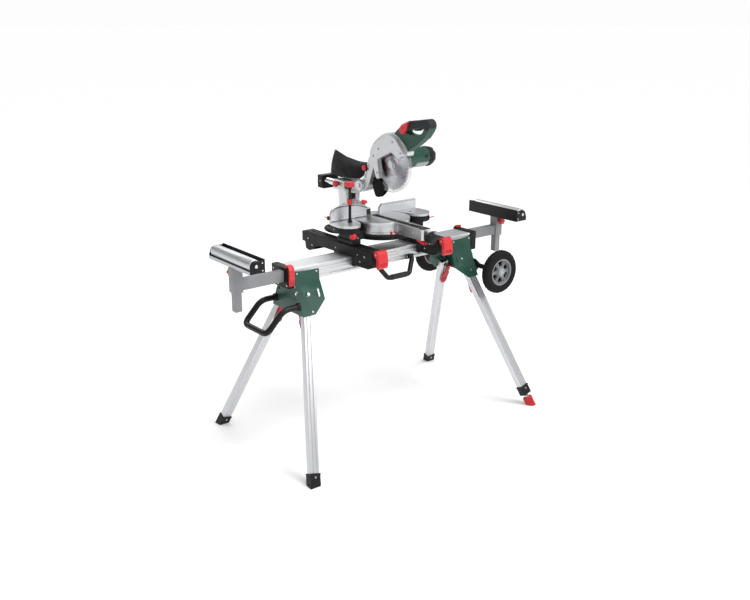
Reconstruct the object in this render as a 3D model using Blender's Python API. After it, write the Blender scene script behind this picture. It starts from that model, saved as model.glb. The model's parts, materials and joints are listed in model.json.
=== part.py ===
"""Sliding mitre saw clamped on a folding stand.

Metres, +Z up, floor at z = 0. +X runs along the beam to the right, -Y is the operator's side.
"""
from math import cos, pi, radians, sin, tan

import bmesh
import bpy
from mathutils import Matrix, Vector

GAP = 0.0003                       # clearance between touching pieces
RUNNING_GAP = 0.0006               # clearance round pieces that slide or turn
WALL = 0.003                       # sheet metal thickness

# --- stand: beam and ends ---------------------------------------------------------------------
BEAM_HALF = 0.4915                 # half length
BEAM_HALF_WIDTH = 0.055
BEAM_BOTTOM = 0.737
BEAM_TOP = 0.797
BEAM_WALL = 0.005
CAP_LENGTH = 0.033
CAP_HALF_WIDTH = 0.060
CAP_BOTTOM = 0.716
CAP_TOP = 0.802

# --- stand: brackets and legs -----------------------------------------------------------------
FLARE = radians(24.0)              # side plates and legs lean out by this angle
SPLAY = radians(14.0)              # legs lean towards the ends by this angle
BRACKET_OUT = 0.4905               # outer face of the end plate
BRACKET_IN = 0.367
BRACKET_BOTTOM = 0.606
BRACKET_TOP = 0.783
BEND_Z = 0.7355                    # side plates bend outwards below this height
LEG_WIDE = 0.040
LEG_THICK = 0.030
LEG_PIVOT = {-1: (0.443, 0.686), 1: (0.452, 0.635)}   # |x| and z of the leg bolt, by side
LEG_ABOVE = 0.018                  # leg end above its bolt
BOLT_RADIUS = 0.005
BOOT_LENGTH = 0.060
RELEASE_Z = 0.614                  # pin of a leg's release lever
LEVELLER_RADIUS = 0.0225
STEM_RADIUS = 0.006

# --- stand: wheels and handles ----------------------------------------------------------------
AXLE_X = 0.510
AXLE_Z = 0.646
AXLE_RADIUS = 0.008
WHEEL_RADIUS = 0.100
RIM_RADIUS = 0.062
WHEEL_OUT = 0.252                  # outer face of a wheel from the middle
WHEEL_WIDE = 0.040
BAR_RADIUS = 0.0125

# --- stand: extension arms and roller supports ------------------------------------------------
ARM_Y = 0.0205                     # the arms pass each other inside the beam
ARM_HALF_Y = 0.015
ARM_BOTTOM = 0.744
ARM_TOP = 0.790
ARM_INNER = 0.120
POST_X = 0.738
POST_HALF = 0.0150
SLEEVE_HALF = 0.0205
SLEEVE_BOTTOM = 0.737
SLEEVE_TOP = 0.8385
POST_BOTTOM = 0.658
CHANNEL_Z = 0.842
ROLLER_X = 0.727
ROLLER_Z = 0.870
ROLLER_RADIUS = 0.025
ROLLER_HALF = 0.150
SUPPORT_HALF = 0.160

# --- tool rails -------------------------------------------------------------------------------
RAIL_X = (-0.170, 0.190)
RAIL_HALF = 0.030
RAIL_TOP = 0.842
RAIL_FRONT = -0.195
RAIL_BACK = 0.315
RAIL_BASE = BEAM_TOP + GAP
LEVER_PIVOT_Y = -0.212
LEVER_PIVOT_Z = 0.838

# --- saw base and table -----------------------------------------------------------------------
SAW_X = 0.005
TABLE_Z = 0.932
TABLE_RADIUS = 0.1245
TABLE_FLOOR = 0.8803
BASE_BOTTOM = RAIL_TOP + GAP
BASE_PLATE = 0.858
WING_BOTTOM = 0.895
FENCE_Y = 0.045
FENCE_THICK = 0.012
ARM_END = -0.300
KNOB_Z = 0.898

# --- bevel column, rails and head -------------------------------------------------------------
COLUMN_FRONT = 0.200
COLUMN_BACK = 0.284
SLIDE_Z = 1.044
SLIDE_SPREAD = 0.033
SLIDE_RADIUS = 0.014
SLIDE_BACK = 0.366
PIVOT_Y = 0.100
PIVOT_Z = 1.060
BLADE_Y = -0.072
BLADE_Z = 1.170
BLADE_RADIUS = 0.108
BLADE_HALF = 0.0012
GUARD_RADIUS = 0.118               # outside of the lower guard's rim
CAVITY_RADIUS = 0.1205
MOTOR_Y = -0.086
MOTOR_Z = 1.190
MOTOR_RADIUS = 0.041
MOTOR_END = 0.212
HANDLE_X = 0.010
HANDLE_HALF = 0.019
CLAMP_X = -0.163
CLAMP_Y = 0.004
CLAMP_TURN = radians(-38.0)        # direction of the clamp's arm seen from above


# --- scene and materials ----------------------------------------------------------------------
def clear_scene():
    for item in list(bpy.data.objects):
        bpy.data.objects.remove(item, do_unlink=True)


def principled(name, colour, roughness, metallic=0.0, transmission=0.0):
    material = bpy.data.materials.new(name)
    material.use_nodes = True
    shader = material.node_tree.nodes["Principled BSDF"]
    shader.inputs["Base Color"].default_value = (*colour, 1.0)
    shader.inputs["Roughness"].default_value = roughness
    shader.inputs["Metallic"].default_value = metallic
    shader.inputs["Transmission Weight"].default_value = transmission
    return material


def make_materials():
    return {
        "aluminium": principled("aluminium", (0.72, 0.73, 0.74), 0.35, 0.9),
        "cast": principled("cast aluminium", (0.62, 0.63, 0.64), 0.5, 0.7),
        "green": principled("green paint", (0.02, 0.11, 0.07), 0.4),
        "black": principled("black plastic", (0.02, 0.02, 0.022), 0.5),
        "rubber": principled("rubber", (0.015, 0.015, 0.015), 0.8),
        "red": principled("red plastic", (0.60, 0.02, 0.03), 0.4),
        "grey": principled("grey paint", (0.24, 0.25, 0.26), 0.45),
        "steel": principled("polished steel", (0.75, 0.76, 0.78), 0.2, 1.0),
        "clear": principled("clear plastic", (0.85, 0.87, 0.88), 0.1, 0.0, 0.8),
        "fabric": principled("black fabric", (0.025, 0.025, 0.027), 0.9),
    }


# --- solids -----------------------------------------------------------------------------------
def from_rings(rings, closed_path=False, cap=True):
    """A closed skin through loops of points that all have the same count."""
    shell = bmesh.new()
    loops = [[shell.verts.new(point) for point in ring] for ring in rings]
    count = len(loops[0])
    pairs = list(zip(loops, loops[1:]))
    if closed_path:
        pairs.append((loops[-1], loops[0]))
    for one, two in pairs:
        for index in range(count):
            after = (index + 1) % count
            shell.faces.new((one[index], one[after], two[after], two[index]))
    if cap and not closed_path:
        shell.faces.new(list(reversed(loops[0])))
        shell.faces.new(loops[-1])
    bmesh.ops.recalc_face_normals(shell, faces=shell.faces)
    return shell


def placed(axis, flat, height):
    """A 2D point at a height along an axis: X takes (y, z), Y takes (x, z), Z takes (x, y)."""
    first, second = flat
    return {"X": (height, first, second), "Y": (first, height, second), "Z": (first, second, height)}[axis]


def prism(outline, axis, low, high):
    return from_rings([[placed(axis, flat, level) for flat in outline] for level in (low, high)])


def box(x0, x1, y0, y1, z0, z1):
    return prism([(x0, y0), (x1, y0), (x1, y1), (x0, y1)], "Z", z0, z1)


def circle(centre, radius, sides, start=0.0, end=2 * pi):
    """Points round a circle, or along an arc when start and end say so."""
    whole = abs(end - start - 2 * pi) < 1e-9
    steps = sides if whole else sides - 1
    turns = [start + (end - start) * step / steps for step in range(sides)]
    return [(centre[0] + radius * cos(turn), centre[1] + radius * sin(turn)) for turn in turns]


def disc(axis, centre, radius, low, high, sides=16):
    return prism(circle(centre, radius, sides), axis, low, high)


def turned(profile, axis, centre, sides=24):
    """A ring turned from a closed profile of (radius, height) points."""
    rings = []
    for step in range(sides):
        turn = 2 * pi * step / sides
        rings.append([placed(axis, (centre[0] + radius * cos(turn), centre[1] + radius * sin(turn)), height)
                      for radius, height in profile])
    return from_rings(rings, closed_path=True)


def arc_ring(profile, centre, start, end, steps):
    """A profile of (radius, x) points swept round an X axis from one angle to another."""
    rings = []
    for step in range(steps + 1):
        turn = start + (end - start) * step / steps
        rings.append([(x, centre[0] + radius * cos(turn), centre[1] + radius * sin(turn))
                      for radius, x in profile])
    return from_rings(rings)


def rod(start, end, radius, sides=12, end_radius=None):
    start = Vector(start)
    along = Vector(end) - start
    turn = along.to_track_quat("Z", "Y").to_matrix()
    last = radius if end_radius is None else end_radius
    rings = []
    for base, size in ((start, radius), (start + along, last)):
        rings.append([base + turn @ Vector((x, y, 0.0)) for x, y in circle((0, 0), size, sides)])
    return from_rings(rings)


def rounded(points, radius, steps=3):
    """A path whose inner corners are turned into short arcs."""
    path = [Vector(points[0])]
    for before, corner, after in zip(points, points[1:], points[2:]):
        corner = Vector(corner)
        back = (Vector(before) - corner).normalized() * radius
        on = (Vector(after) - corner).normalized() * radius
        for step in range(steps + 1):
            share = step / steps
            path.append(corner + back * (1 - share) ** 2 + on * share ** 2)
    path.append(Vector(points[-1]))
    return path


def bar(path, radius, sides=10):
    """A round bar along a path, mitred at each point."""
    rings = []
    side = Vector((0.0, 0.0, 1.0))
    for index, point in enumerate(path):
        before = path[max(index - 1, 0)]
        after = path[min(index + 1, len(path) - 1)]
        along = (after - before).normalized()
        across = along.cross(side)
        if across.length < 0.2:
            across = along.cross(Vector((1.0, 0.0, 0.0)))
        across.normalize()
        up = across.cross(along)
        rings.append([point + across * x + up * y for x, y in circle((0, 0), radius, sides)])
    return from_rings(rings)


def joined(pieces):
    """Separate solids in one mesh, for use as a cutter."""
    whole = bmesh.new()
    for piece in pieces:
        mesh = bpy.data.meshes.new("piece")
        piece.to_mesh(mesh)
        whole.from_mesh(mesh)
        bpy.data.meshes.remove(mesh)
    return whole


def moved(shell, matrix):
    bmesh.ops.transform(shell, matrix=matrix, verts=shell.verts)
    bmesh.ops.recalc_face_normals(shell, faces=shell.faces)
    return shell


def helper_object(name, shell):
    mesh = bpy.data.meshes.new(name)
    shell.to_mesh(mesh)
    item = bpy.data.objects.new(name, mesh)
    item.hide_render = True
    item.display_type = "WIRE"
    bpy.context.collection.objects.link(item)
    return item


def part(name, material, origin, body, add=(), cut=(), after=(), smooth=False):
    """A named object with its origin on its joint or mount: body + add - cut + after."""
    moved(body, Matrix.Translation(-Vector(origin)))
    mesh = bpy.data.meshes.new(name)
    body.to_mesh(mesh)
    mesh.materials.append(material)
    item = bpy.data.objects.new(name, mesh)
    item.location = origin
    bpy.context.collection.objects.link(item)
    steps = [("UNION", shell) for shell in add]
    steps += [("DIFFERENCE", shell) for shell in cut]
    steps += [("UNION", shell) for shell in after]
    for number, (operation, shell) in enumerate(steps):
        step = item.modifiers.new(f"{operation.lower()} {number}", "BOOLEAN")
        step.operation = operation
        step.solver = "EXACT"
        step.object = helper_object(f"{name}.{operation.lower()}.{number}", shell)
    if smooth:
        mesh.shade_smooth()
        mesh.set_sharp_from_angle(angle=radians(35))
    return item


def side_name(side):
    return "left" if side < 0 else "right"


def corner_name(side, front):
    return f"{'front' if front < 0 else 'rear'}_{side_name(side)}"


# --- beam and end caps ------------------------------------------------------------------------
def make_beam(mats):
    groove = 0.003
    levels = (0.757, 0.777)
    right = [(BEAM_HALF_WIDTH, BEAM_BOTTOM)]
    for level in levels:
        right += [(BEAM_HALF_WIDTH, level - groove / 2), (BEAM_HALF_WIDTH - groove, level),
                  (BEAM_HALF_WIDTH, level + groove / 2)]
    right.append((BEAM_HALF_WIDTH, BEAM_TOP))
    outline = right + [(-y, z) for y, z in reversed(right)]
    inner = BEAM_HALF_WIDTH - BEAM_WALL
    hollow = box(-0.6, 0.6, -inner, inner, BEAM_BOTTOM + BEAM_WALL, BEAM_TOP - BEAM_WALL)
    part("beam", mats["aluminium"], (0, 0, BEAM_BOTTOM),
         prism(outline, "X", -BEAM_HALF, BEAM_HALF), cut=[hollow])


def make_end_cap(side, mats):
    near = side * (BEAM_HALF + GAP)
    far = side * (BEAM_HALF + CAP_LENGTH)
    low, high = min(near, far), max(near, far)
    body = box(low, high, -CAP_HALF_WIDTH, CAP_HALF_WIDTH, CAP_BOTTOM, CAP_TOP)
    arm_y = side * ARM_Y
    slot = 0.0006
    hole = box(low - 0.01, high + 0.01, arm_y - ARM_HALF_Y - slot, arm_y + ARM_HALF_Y + slot,
               ARM_BOTTOM - slot, ARM_TOP + slot)
    part(f"end_cap_{side_name(side)}", mats["black"], (near, 0, CAP_BOTTOM), body, cut=[hole])


def make_arm_lever(side, mats):
    """Cam lever that hooks over an end cap and clamps the extension arm."""
    face = CAP_HALF_WIDTH + 0.0005
    top = CAP_TOP + 0.0005
    outside = [(face + 0.006, 0.728), (face + 0.010, 0.760), (face + 0.008, 0.795),
               (face - 0.004, top + 0.010), (face - 0.022, top + 0.012)]
    inside = [(face - 0.022, top), (face, top), (face, 0.760), (face + 0.001, 0.728)]
    outline = [(side * y, z) for y, z in outside + inside]
    centre = side * (BEAM_HALF + CAP_LENGTH / 2 + 0.001)
    pivot = (centre, side * (face - 0.020), top + 0.006)
    part(f"arm_clamp_lever_{side_name(side)}", mats["red"], pivot,
         prism(outline, "X", centre - 0.013, centre + 0.013))


# --- leg brackets and legs --------------------------------------------------------------------
def plate_y(height):
    """Inner face of a flared side plate at a height, on the +Y side."""
    return BEAM_HALF_WIDTH + RUNNING_GAP + max(0.0, BEND_Z - height) * tan(FLARE)


def leg_frame(side, front):
    """Pivot on the leg's centre plane, with its in-plane, normal and upward axes."""
    pivot_x, pivot_z = LEG_PIVOT[side]
    normal = Vector((0, front * cos(FLARE), sin(FLARE)))
    surface = Vector((side * pivot_x, front * plate_y(pivot_z), pivot_z))
    centre = surface - normal * (RUNNING_GAP + LEG_THICK / 2)
    down = Vector((0, front * sin(FLARE), -cos(FLARE)))
    along = down * cos(SPLAY) + Vector((side * sin(SPLAY), 0, 0))
    across = Vector((side * cos(SPLAY), 0, 0)) - down * sin(SPLAY)
    return centre, across, normal, -along


def frame_matrix(centre, across, normal, up):
    matrix = Matrix.Identity(4)
    for column, axis in enumerate((across, normal, up, centre)):
        for row in range(3):
            matrix[row][column] = axis[row]
    return matrix


def side_plate(side, front):
    """Flared side plate as a bent strip of sheet."""
    def at(x, z, outward):
        return (side * x, front * (plate_y(z) + outward), z)
    edge = [(BRACKET_OUT, BRACKET_TOP), (BRACKET_OUT, BEND_Z), (BRACKET_OUT, BRACKET_BOTTOM),
            (0.430, BRACKET_BOTTOM), (BRACKET_IN, 0.655), (BRACKET_IN + 0.002, BEND_Z),
            (BRACKET_IN + 0.004, BRACKET_TOP - 0.005)]
    shell = bmesh.new()
    inner = [shell.verts.new(at(x, z, 0.0)) for x, z in edge]
    outer = [shell.verts.new(at(x, z, WALL / cos(FLARE))) for x, z in edge]
    upper, lower = (0, 1, 5, 6), (1, 2, 3, 4, 5)
    for indices in (upper, lower):
        shell.faces.new([inner[index] for index in indices])
        shell.faces.new([outer[index] for index in reversed(indices)])
    for index in range(len(edge)):
        after = (index + 1) % len(edge)
        shell.faces.new((inner[index], inner[after], outer[after], outer[index]))
    bmesh.ops.recalc_face_normals(shell, faces=shell.faces)
    return shell


def leg_bolt(side, front):
    """Pivot bolt through the plate and the leg, with its head and nut."""
    centre, _, normal, _ = leg_frame(side, front)
    half = LEG_THICK / 2
    shaft = rod(centre - normal * (half + 0.006), centre + normal * (half + 0.006), BOLT_RADIUS, 8)
    head = rod(centre + normal * (half + 0.002), centre + normal * (half + 0.0075), 0.009, 8)
    nut = rod(centre - normal * (half + 0.0008), centre - normal * (half + 0.006), 0.0085, 6)
    return [shaft, head, nut]


def release_pin(side, front):
    """Pin along X, inside of the leg, that carries the release lever."""
    y, z = front * release_y(), RELEASE_Z
    return rod((side * (BRACKET_OUT - 0.001), y, z), (side * 0.458, y, z), 0.003, 8)

def release_y():
    return plate_y(RELEASE_Z) - (LEG_THICK + 0.0105) / cos(FLARE)


def make_bracket(side, mats):
    low_y = plate_y(BRACKET_BOTTOM) + 0.001
    high_z = CAP_BOTTOM - 0.004
    high_y = plate_y(high_z) + 0.001
    outline = [(-low_y, BRACKET_BOTTOM), (low_y, BRACKET_BOTTOM), (high_y, high_z), (-high_y, high_z)]
    ends = sorted((side * BRACKET_OUT, side * (BRACKET_OUT - WALL)))
    end_plate = prism(outline, "X", *ends)
    add = [side_plate(side, front) for front in (-1, 1)]
    for front in (-1, 1):
        add += leg_bolt(side, front)
        add.append(release_pin(side, front))
    part(f"leg_bracket_{side_name(side)}", mats["green"], (side * BRACKET_OUT, 0, BRACKET_BOTTOM),
         end_plate, add=add)


def leg_reach(side):
    """Length from the pivot to the floor along the leg."""
    centre, _, _, up = leg_frame(side, 1)
    return centre.z / up.z


def is_levelled(side, front):
    return side > 0 and front < 0


def leg_end(side, front):
    """Length from the pivot to the leg tube's lower end."""
    shorter = 0.062 if is_levelled(side, front) else 0.008
    return leg_reach(side) - shorter


def make_leg(side, front, mats):
    centre, across, normal, up = leg_frame(side, front)
    matrix = frame_matrix(centre, across, normal, up)
    wide, thick = LEG_WIDE / 2, LEG_THICK / 2
    groove = 0.002
    face = [(-wide, thick), (-0.008 - groove, thick), (-0.008, thick - groove), (-0.008 + groove, thick),
            (0.008 - groove, thick), (0.008, thick - groove), (0.008 + groove, thick), (wide, thick)]
    outline = face + [(-x, -y) for x, y in face]
    tube = moved(prism(outline, "Z", -leg_end(side, front), LEG_ABOVE), matrix)
    inner = moved(box(-wide + 0.0028, wide - 0.0028, -thick + 0.0045, thick - 0.0045,
                      -0.9, 0.1), matrix)
    bore = rod(centre - normal * 0.03, centre + normal * 0.03, BOLT_RADIUS + 0.0007, 8)
    part(f"leg_{corner_name(side, front)}", mats["aluminium"], centre, tube, cut=[inner, bore])


def make_boot(side, front, mats):
    """Plastic boot pushed over the leg's end, flat where it stands on the floor."""
    centre, across, normal, up = leg_frame(side, front)
    matrix = frame_matrix(centre, across, normal, up)
    end = leg_end(side, front)
    wide, thick = LEG_WIDE / 2, LEG_THICK / 2
    shell = 0.003
    bottom = -end - (0.006 if is_levelled(side, front) else 0.040)
    body = moved(box(-wide - shell, wide + shell, -thick - shell, thick + shell,
                     bottom, -end + BOOT_LENGTH - 0.02), matrix)
    socket = moved(box(-wide - GAP, wide + GAP, -thick - GAP, thick + GAP, -end - GAP, 0.1), matrix)
    cut = [socket, box(-1, 1, -1, 1, -0.2, 0.0)]
    if is_levelled(side, front):
        cut.append(rod(centre - up * (end + 0.03), centre - up * (end - 0.03), STEM_RADIUS + 0.0005, 10))
    part(f"leg_boot_{corner_name(side, front)}", mats["black"], centre - up * end, body, cut=cut)


def make_leveller(mats):
    centre, _, _, up = leg_frame(1, -1)
    top = centre - up * (leg_end(1, -1) + 0.006 + GAP)
    neck = rod(top, top - up * 0.014, 0.011, 12)
    stem = rod(top + up * 0.034, top - up * 0.010, STEM_RADIUS, 10)
    pad = rod(top - up * 0.013, top - up * 0.090, LEVELLER_RADIUS, 20)
    floor = box(-1, 1, -1, 1, -0.2, 0.0)
    part("levelling_foot", mats["red"], top, pad, add=[neck, stem], cut=[floor], smooth=True)


def make_release(side, front, mats):
    """Red paddle that frees the folded or opened leg."""
    y, z = release_y(), RELEASE_Z
    lean = FLARE
    matrix = Matrix.Translation((0, 0, z)) @ Matrix.Rotation(lean * front, 4, "X")
    middle = side * 0.4735
    paddle = [(-0.010, -0.002), (0.010, -0.002), (0.010, -0.030), (0.016, -0.040), (0.016, -0.092),
              (0.010, -0.100), (-0.010, -0.100), (-0.016, -0.092), (-0.016, -0.040), (-0.010, -0.030)]
    outline = [(middle + x, level) for x, level in paddle]
    blade = moved(prism(outline, "Y", -0.003, 0.003), matrix)
    moved(blade, Matrix.Translation((0, front * y, 0)))
    boss = rod((middle - 0.011, front * y, z), (middle + 0.011, front * y, z), 0.0065, 10)
    bore = rod((middle - 0.03, front * y, z), (middle + 0.03, front * y, z), 0.0034, 8)
    part(f"leg_release_{corner_name(side, front)}", mats["red"], (middle, front * y, z), boss,
         add=[blade], cut=[bore])


# --- handles ----------------------------------------------------------------------------------
def make_pull_handle(mats):
    half = 0.086
    start = -(BRACKET_OUT + GAP)
    points = [(start, half, 0.643), (-0.565, half, 0.643), (-0.648, half, 0.558),
              (-0.648, -half, 0.558), (-0.565, -half, 0.643), (start, -half, 0.643)]
    part("pull_handle", mats["black"], (start, 0, 0.643), bar(rounded(points, 0.028), BAR_RADIUS),
         smooth=True)


def make_carry_handle(mats):
    face = -(BEAM_HALF_WIDTH + GAP)
    left, right = -0.080, 0.120
    points = [(left, face, 0.746), (left, face - 0.018, 0.746), (left + 0.035, -0.108, 0.688),
              (right - 0.045, -0.108, 0.688), (right, face - 0.018, 0.746), (right, face, 0.746)]
    part("carry_handle", mats["black"], (0.020, face, 0.746), bar(rounded(points, 0.012, 2), 0.0108, 8),
         smooth=True)


# --- wheels -----------------------------------------------------------------------------------
def make_axle(mats):
    half = WHEEL_OUT - 0.004
    start = (AXLE_X, -half, AXLE_Z)
    shaft = rod(start, (AXLE_X, half, AXLE_Z), AXLE_RADIUS, 12)
    add = []
    plate = BRACKET_OUT + GAP
    for y in (-0.085, 0.085):
        outline = [(plate, AXLE_Z - 0.030), (plate + 0.004, AXLE_Z - 0.030),
                   (AXLE_X + 0.012, AXLE_Z - 0.010), (AXLE_X + 0.012, AXLE_Z + 0.010),
                   (plate + 0.004, AXLE_Z + 0.034), (plate, AXLE_Z + 0.034)]
        add.append(prism(outline, "Y", y - 0.009, y + 0.009))
    for side in (-1, 1):
        inner = side * (WHEEL_OUT - WHEEL_WIDE - 0.004)
        add.append(rod((AXLE_X, inner, AXLE_Z), (AXLE_X, inner - side * 0.010, AXLE_Z), 0.013, 12))
    part("wheel_axle", mats["black"], (AXLE_X, 0, AXLE_Z), shaft, add=add)


def make_wheel(front, mats):
    name = "front" if front < 0 else "rear"
    centre = (AXLE_X, AXLE_Z)
    outer, inner = WHEEL_OUT, WHEEL_OUT - WHEEL_WIDE
    middle = (outer + inner) / 2
    tread = [(RIM_RADIUS + GAP, inner + 0.003), (0.088, inner), (WHEEL_RADIUS, inner + 0.009),
             (WHEEL_RADIUS, outer - 0.009), (0.088, outer), (RIM_RADIUS + GAP, outer - 0.003)]
    part(f"tyre_{name}", mats["rubber"], (AXLE_X, front * middle, AXLE_Z),
         turned([(radius, front * y) for radius, y in tread], "Y", centre, 32), smooth=True)
    bore = AXLE_RADIUS + 0.0004
    hub = 0.020
    lip = RIM_RADIUS - 0.008
    web = [(bore, inner + 0.002), (hub, inner + 0.002), (hub, middle - 0.004), (lip - 0.002, middle - 0.004),
           (lip, inner + 0.004), (RIM_RADIUS, inner + 0.004), (RIM_RADIUS, outer - 0.004),
           (lip, outer - 0.004), (lip - 0.002, middle + 0.004), (hub, middle + 0.004), (hub, outer - 0.002),
           (bore, outer - 0.002)]
    windows = []
    for step in range(6):
        turn = 2 * pi * step / 6
        spot = (centre[0] + 0.0365 * cos(turn), centre[1] + 0.0365 * sin(turn))
        windows.append(disc("Y", spot, 0.0115, front * middle - 0.02, front * middle + 0.02, 8))
    part(f"wheel_rim_{name}", mats["grey"], (AXLE_X, front * middle, AXLE_Z),
         turned([(radius, front * y) for radius, y in web], "Y", centre, 24), cut=[joined(windows)],
         smooth=True)


# --- extension arms and roller supports -------------------------------------------------------
def make_extension(side, mats):
    """Telescopic arm with the square sleeve for the height post at its end."""
    y = side * ARM_Y
    wall = 0.0025
    open_end, joined_end = side * ARM_INNER, side * (POST_X - SLEEVE_HALF + 0.001)
    low, high = sorted((open_end, joined_end))
    tube = box(low, high, y - ARM_HALF_Y, y + ARM_HALF_Y, ARM_BOTTOM, ARM_TOP)
    low, high = sorted((open_end - side * 0.01, joined_end))
    inside = box(low, high, y - ARM_HALF_Y + wall, y + ARM_HALF_Y - wall, ARM_BOTTOM + wall, ARM_TOP - wall)
    x = side * POST_X
    sleeve = box(x - SLEEVE_HALF, x + SLEEVE_HALF, y - SLEEVE_HALF, y + SLEEVE_HALF,
                 SLEEVE_BOTTOM, SLEEVE_TOP)
    bore = POST_HALF + RUNNING_GAP
    square = box(x - bore, x + bore, y - bore, y + bore, 0.60, 0.90)
    part(f"extension_arm_{side_name(side)}", mats["grey"], (side * BEAM_HALF, y, ARM_BOTTOM), tube,
         add=[sleeve], cut=[inside, square])


def make_post(side, mats):
    """Height post with the roller channel, the end lugs and the work stop plate."""
    x, y = side * POST_X, side * ARM_Y
    post = box(x - POST_HALF, x + POST_HALF, y - POST_HALF, y + POST_HALF, POST_BOTTOM, CHANNEL_Z + 0.001)
    near, far = sorted((side * 0.688, side * 0.755))
    floor = box(near, far, -SUPPORT_HALF, SUPPORT_HALF, CHANNEL_Z - 0.003, CHANNEL_Z)
    near, far = sorted((side * 0.6875, side * 0.6905))
    stop = box(near, far, -SUPPORT_HALF, SUPPORT_HALF, CHANNEL_Z - 0.003, 0.894)
    add = [floor, stop]
    holes = []
    for end in (-1, 1):
        lug = sorted((end * (ROLLER_HALF + 0.004), end * SUPPORT_HALF))
        outline = [(side * 0.688, CHANNEL_Z - 0.002), (side * 0.753, CHANNEL_Z - 0.002),
                   (side * 0.753, 0.856), (side * (ROLLER_X + 0.014), ROLLER_Z + 0.014),
                   (side * (ROLLER_X - 0.012), ROLLER_Z + 0.018), (side * 0.688, ROLLER_Z + 0.018)]
        add.append(prism(outline, "Y", *lug))
        holes.append(disc("Y", (side * ROLLER_X, ROLLER_Z), 0.0045, lug[0] - 0.01, lug[1] + 0.01, 8))
    part(f"support_post_{side_name(side)}", mats["aluminium"], (x, y, POST_BOTTOM), post,
         add=add, cut=[joined(holes)])


def make_roller(side, mats):
    x = side * ROLLER_X
    barrel = disc("Y", (x, ROLLER_Z), ROLLER_RADIUS, -ROLLER_HALF, ROLLER_HALF, 24)
    pin = disc("Y", (x, ROLLER_Z), 0.004, -SUPPORT_HALF - 0.003, SUPPORT_HALF + 0.003, 8)
    part(f"roller_{side_name(side)}", mats["aluminium"], (x, 0, ROLLER_Z), barrel, add=[pin], smooth=True)


def lobed(centre, radius, lobes, depth, sides):
    """Outline of a knob with scalloped grips."""
    points = []
    for step in range(sides):
        turn = 2 * pi * step / sides
        reach = radius - depth * (0.5 - 0.5 * cos(lobes * turn))
        points.append((centre[0] + reach * cos(turn), centre[1] + reach * sin(turn)))
    return points


def make_height_knob(side, mats):
    y = side * ARM_Y
    face = y - side * (SLEEVE_HALF + GAP)
    out = -side
    grip = sorted((face + out * 0.008, face + out * 0.026))
    neck = sorted((face, face + out * 0.010))
    centre = (side * POST_X, 0.812)
    part(f"height_knob_{side_name(side)}", mats["red"], (centre[0], face, centre[1]),
         prism(lobed(centre, 0.017, 6, 0.004, 24), "Y", *grip), add=[disc("Y", centre, 0.008, *neck, 10)],
         smooth=True)


# --- tool rails -------------------------------------------------------------------------------
def make_tool_rail(side, mats):
    """Channel across the beam that carries the saw, with its front clamp body."""
    x = RAIL_X[0] if side < 0 else RAIL_X[1]
    wall = 0.004
    top = box(x - RAIL_HALF, x + RAIL_HALF, RAIL_FRONT, RAIL_BACK, RAIL_BASE, RAIL_TOP)
    under = box(x - RAIL_HALF + wall, x + RAIL_HALF - wall, RAIL_FRONT + 0.02, RAIL_BACK + 0.02,
                RAIL_BASE - 0.02, RAIL_TOP - wall)
    clear = BEAM_HALF_WIDTH + RUNNING_GAP
    front = [(RAIL_FRONT, RAIL_TOP - 0.004), (RAIL_FRONT, 0.778), (-0.165, 0.766), (-0.085, 0.766),
             (-0.070, 0.758), (-clear, 0.758), (-clear, RAIL_BASE + 0.001), (-0.085, RAIL_TOP - 0.006)]
    foot = [(0.215, RAIL_BASE + 0.002), (0.225, 0.779), (0.262, 0.760), (0.290, 0.766),
            (0.302, RAIL_TOP - 0.006)]
    grip = [(clear, RAIL_BASE + 0.002), (clear, 0.762), (0.066, 0.762), (0.074, RAIL_BASE + 0.002)]
    clamps = [prism(outline, "X", x - RAIL_HALF + 0.001, x + RAIL_HALF - 0.001)
              for outline in (front, foot, grip)]
    part(f"tool_rail_{side_name(side)}", mats["black"], (x, 0, RAIL_BASE), top, cut=[under], after=clamps)


def make_rail_lever(side, mats):
    """Broad cam lever at the rail's front, hanging down when it is clamped."""
    x = RAIL_X[0] if side < 0 else RAIL_X[1]
    y, z = LEVER_PIVOT_Y, LEVER_PIVOT_Z
    outline = circle((y, z), 0.015, 7, radians(20), radians(180))
    outline += [(y - 0.016, z - 0.050), (y - 0.010, z - 0.062), (y - 0.003, z - 0.062),
                (y - 0.004, z - 0.020), (y + 0.012, z - 0.010)]
    part(f"rail_lever_{side_name(side)}", mats["red"], (x, y, z),
         prism(outline, "X", x - 0.0245, x + 0.0245))


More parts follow.
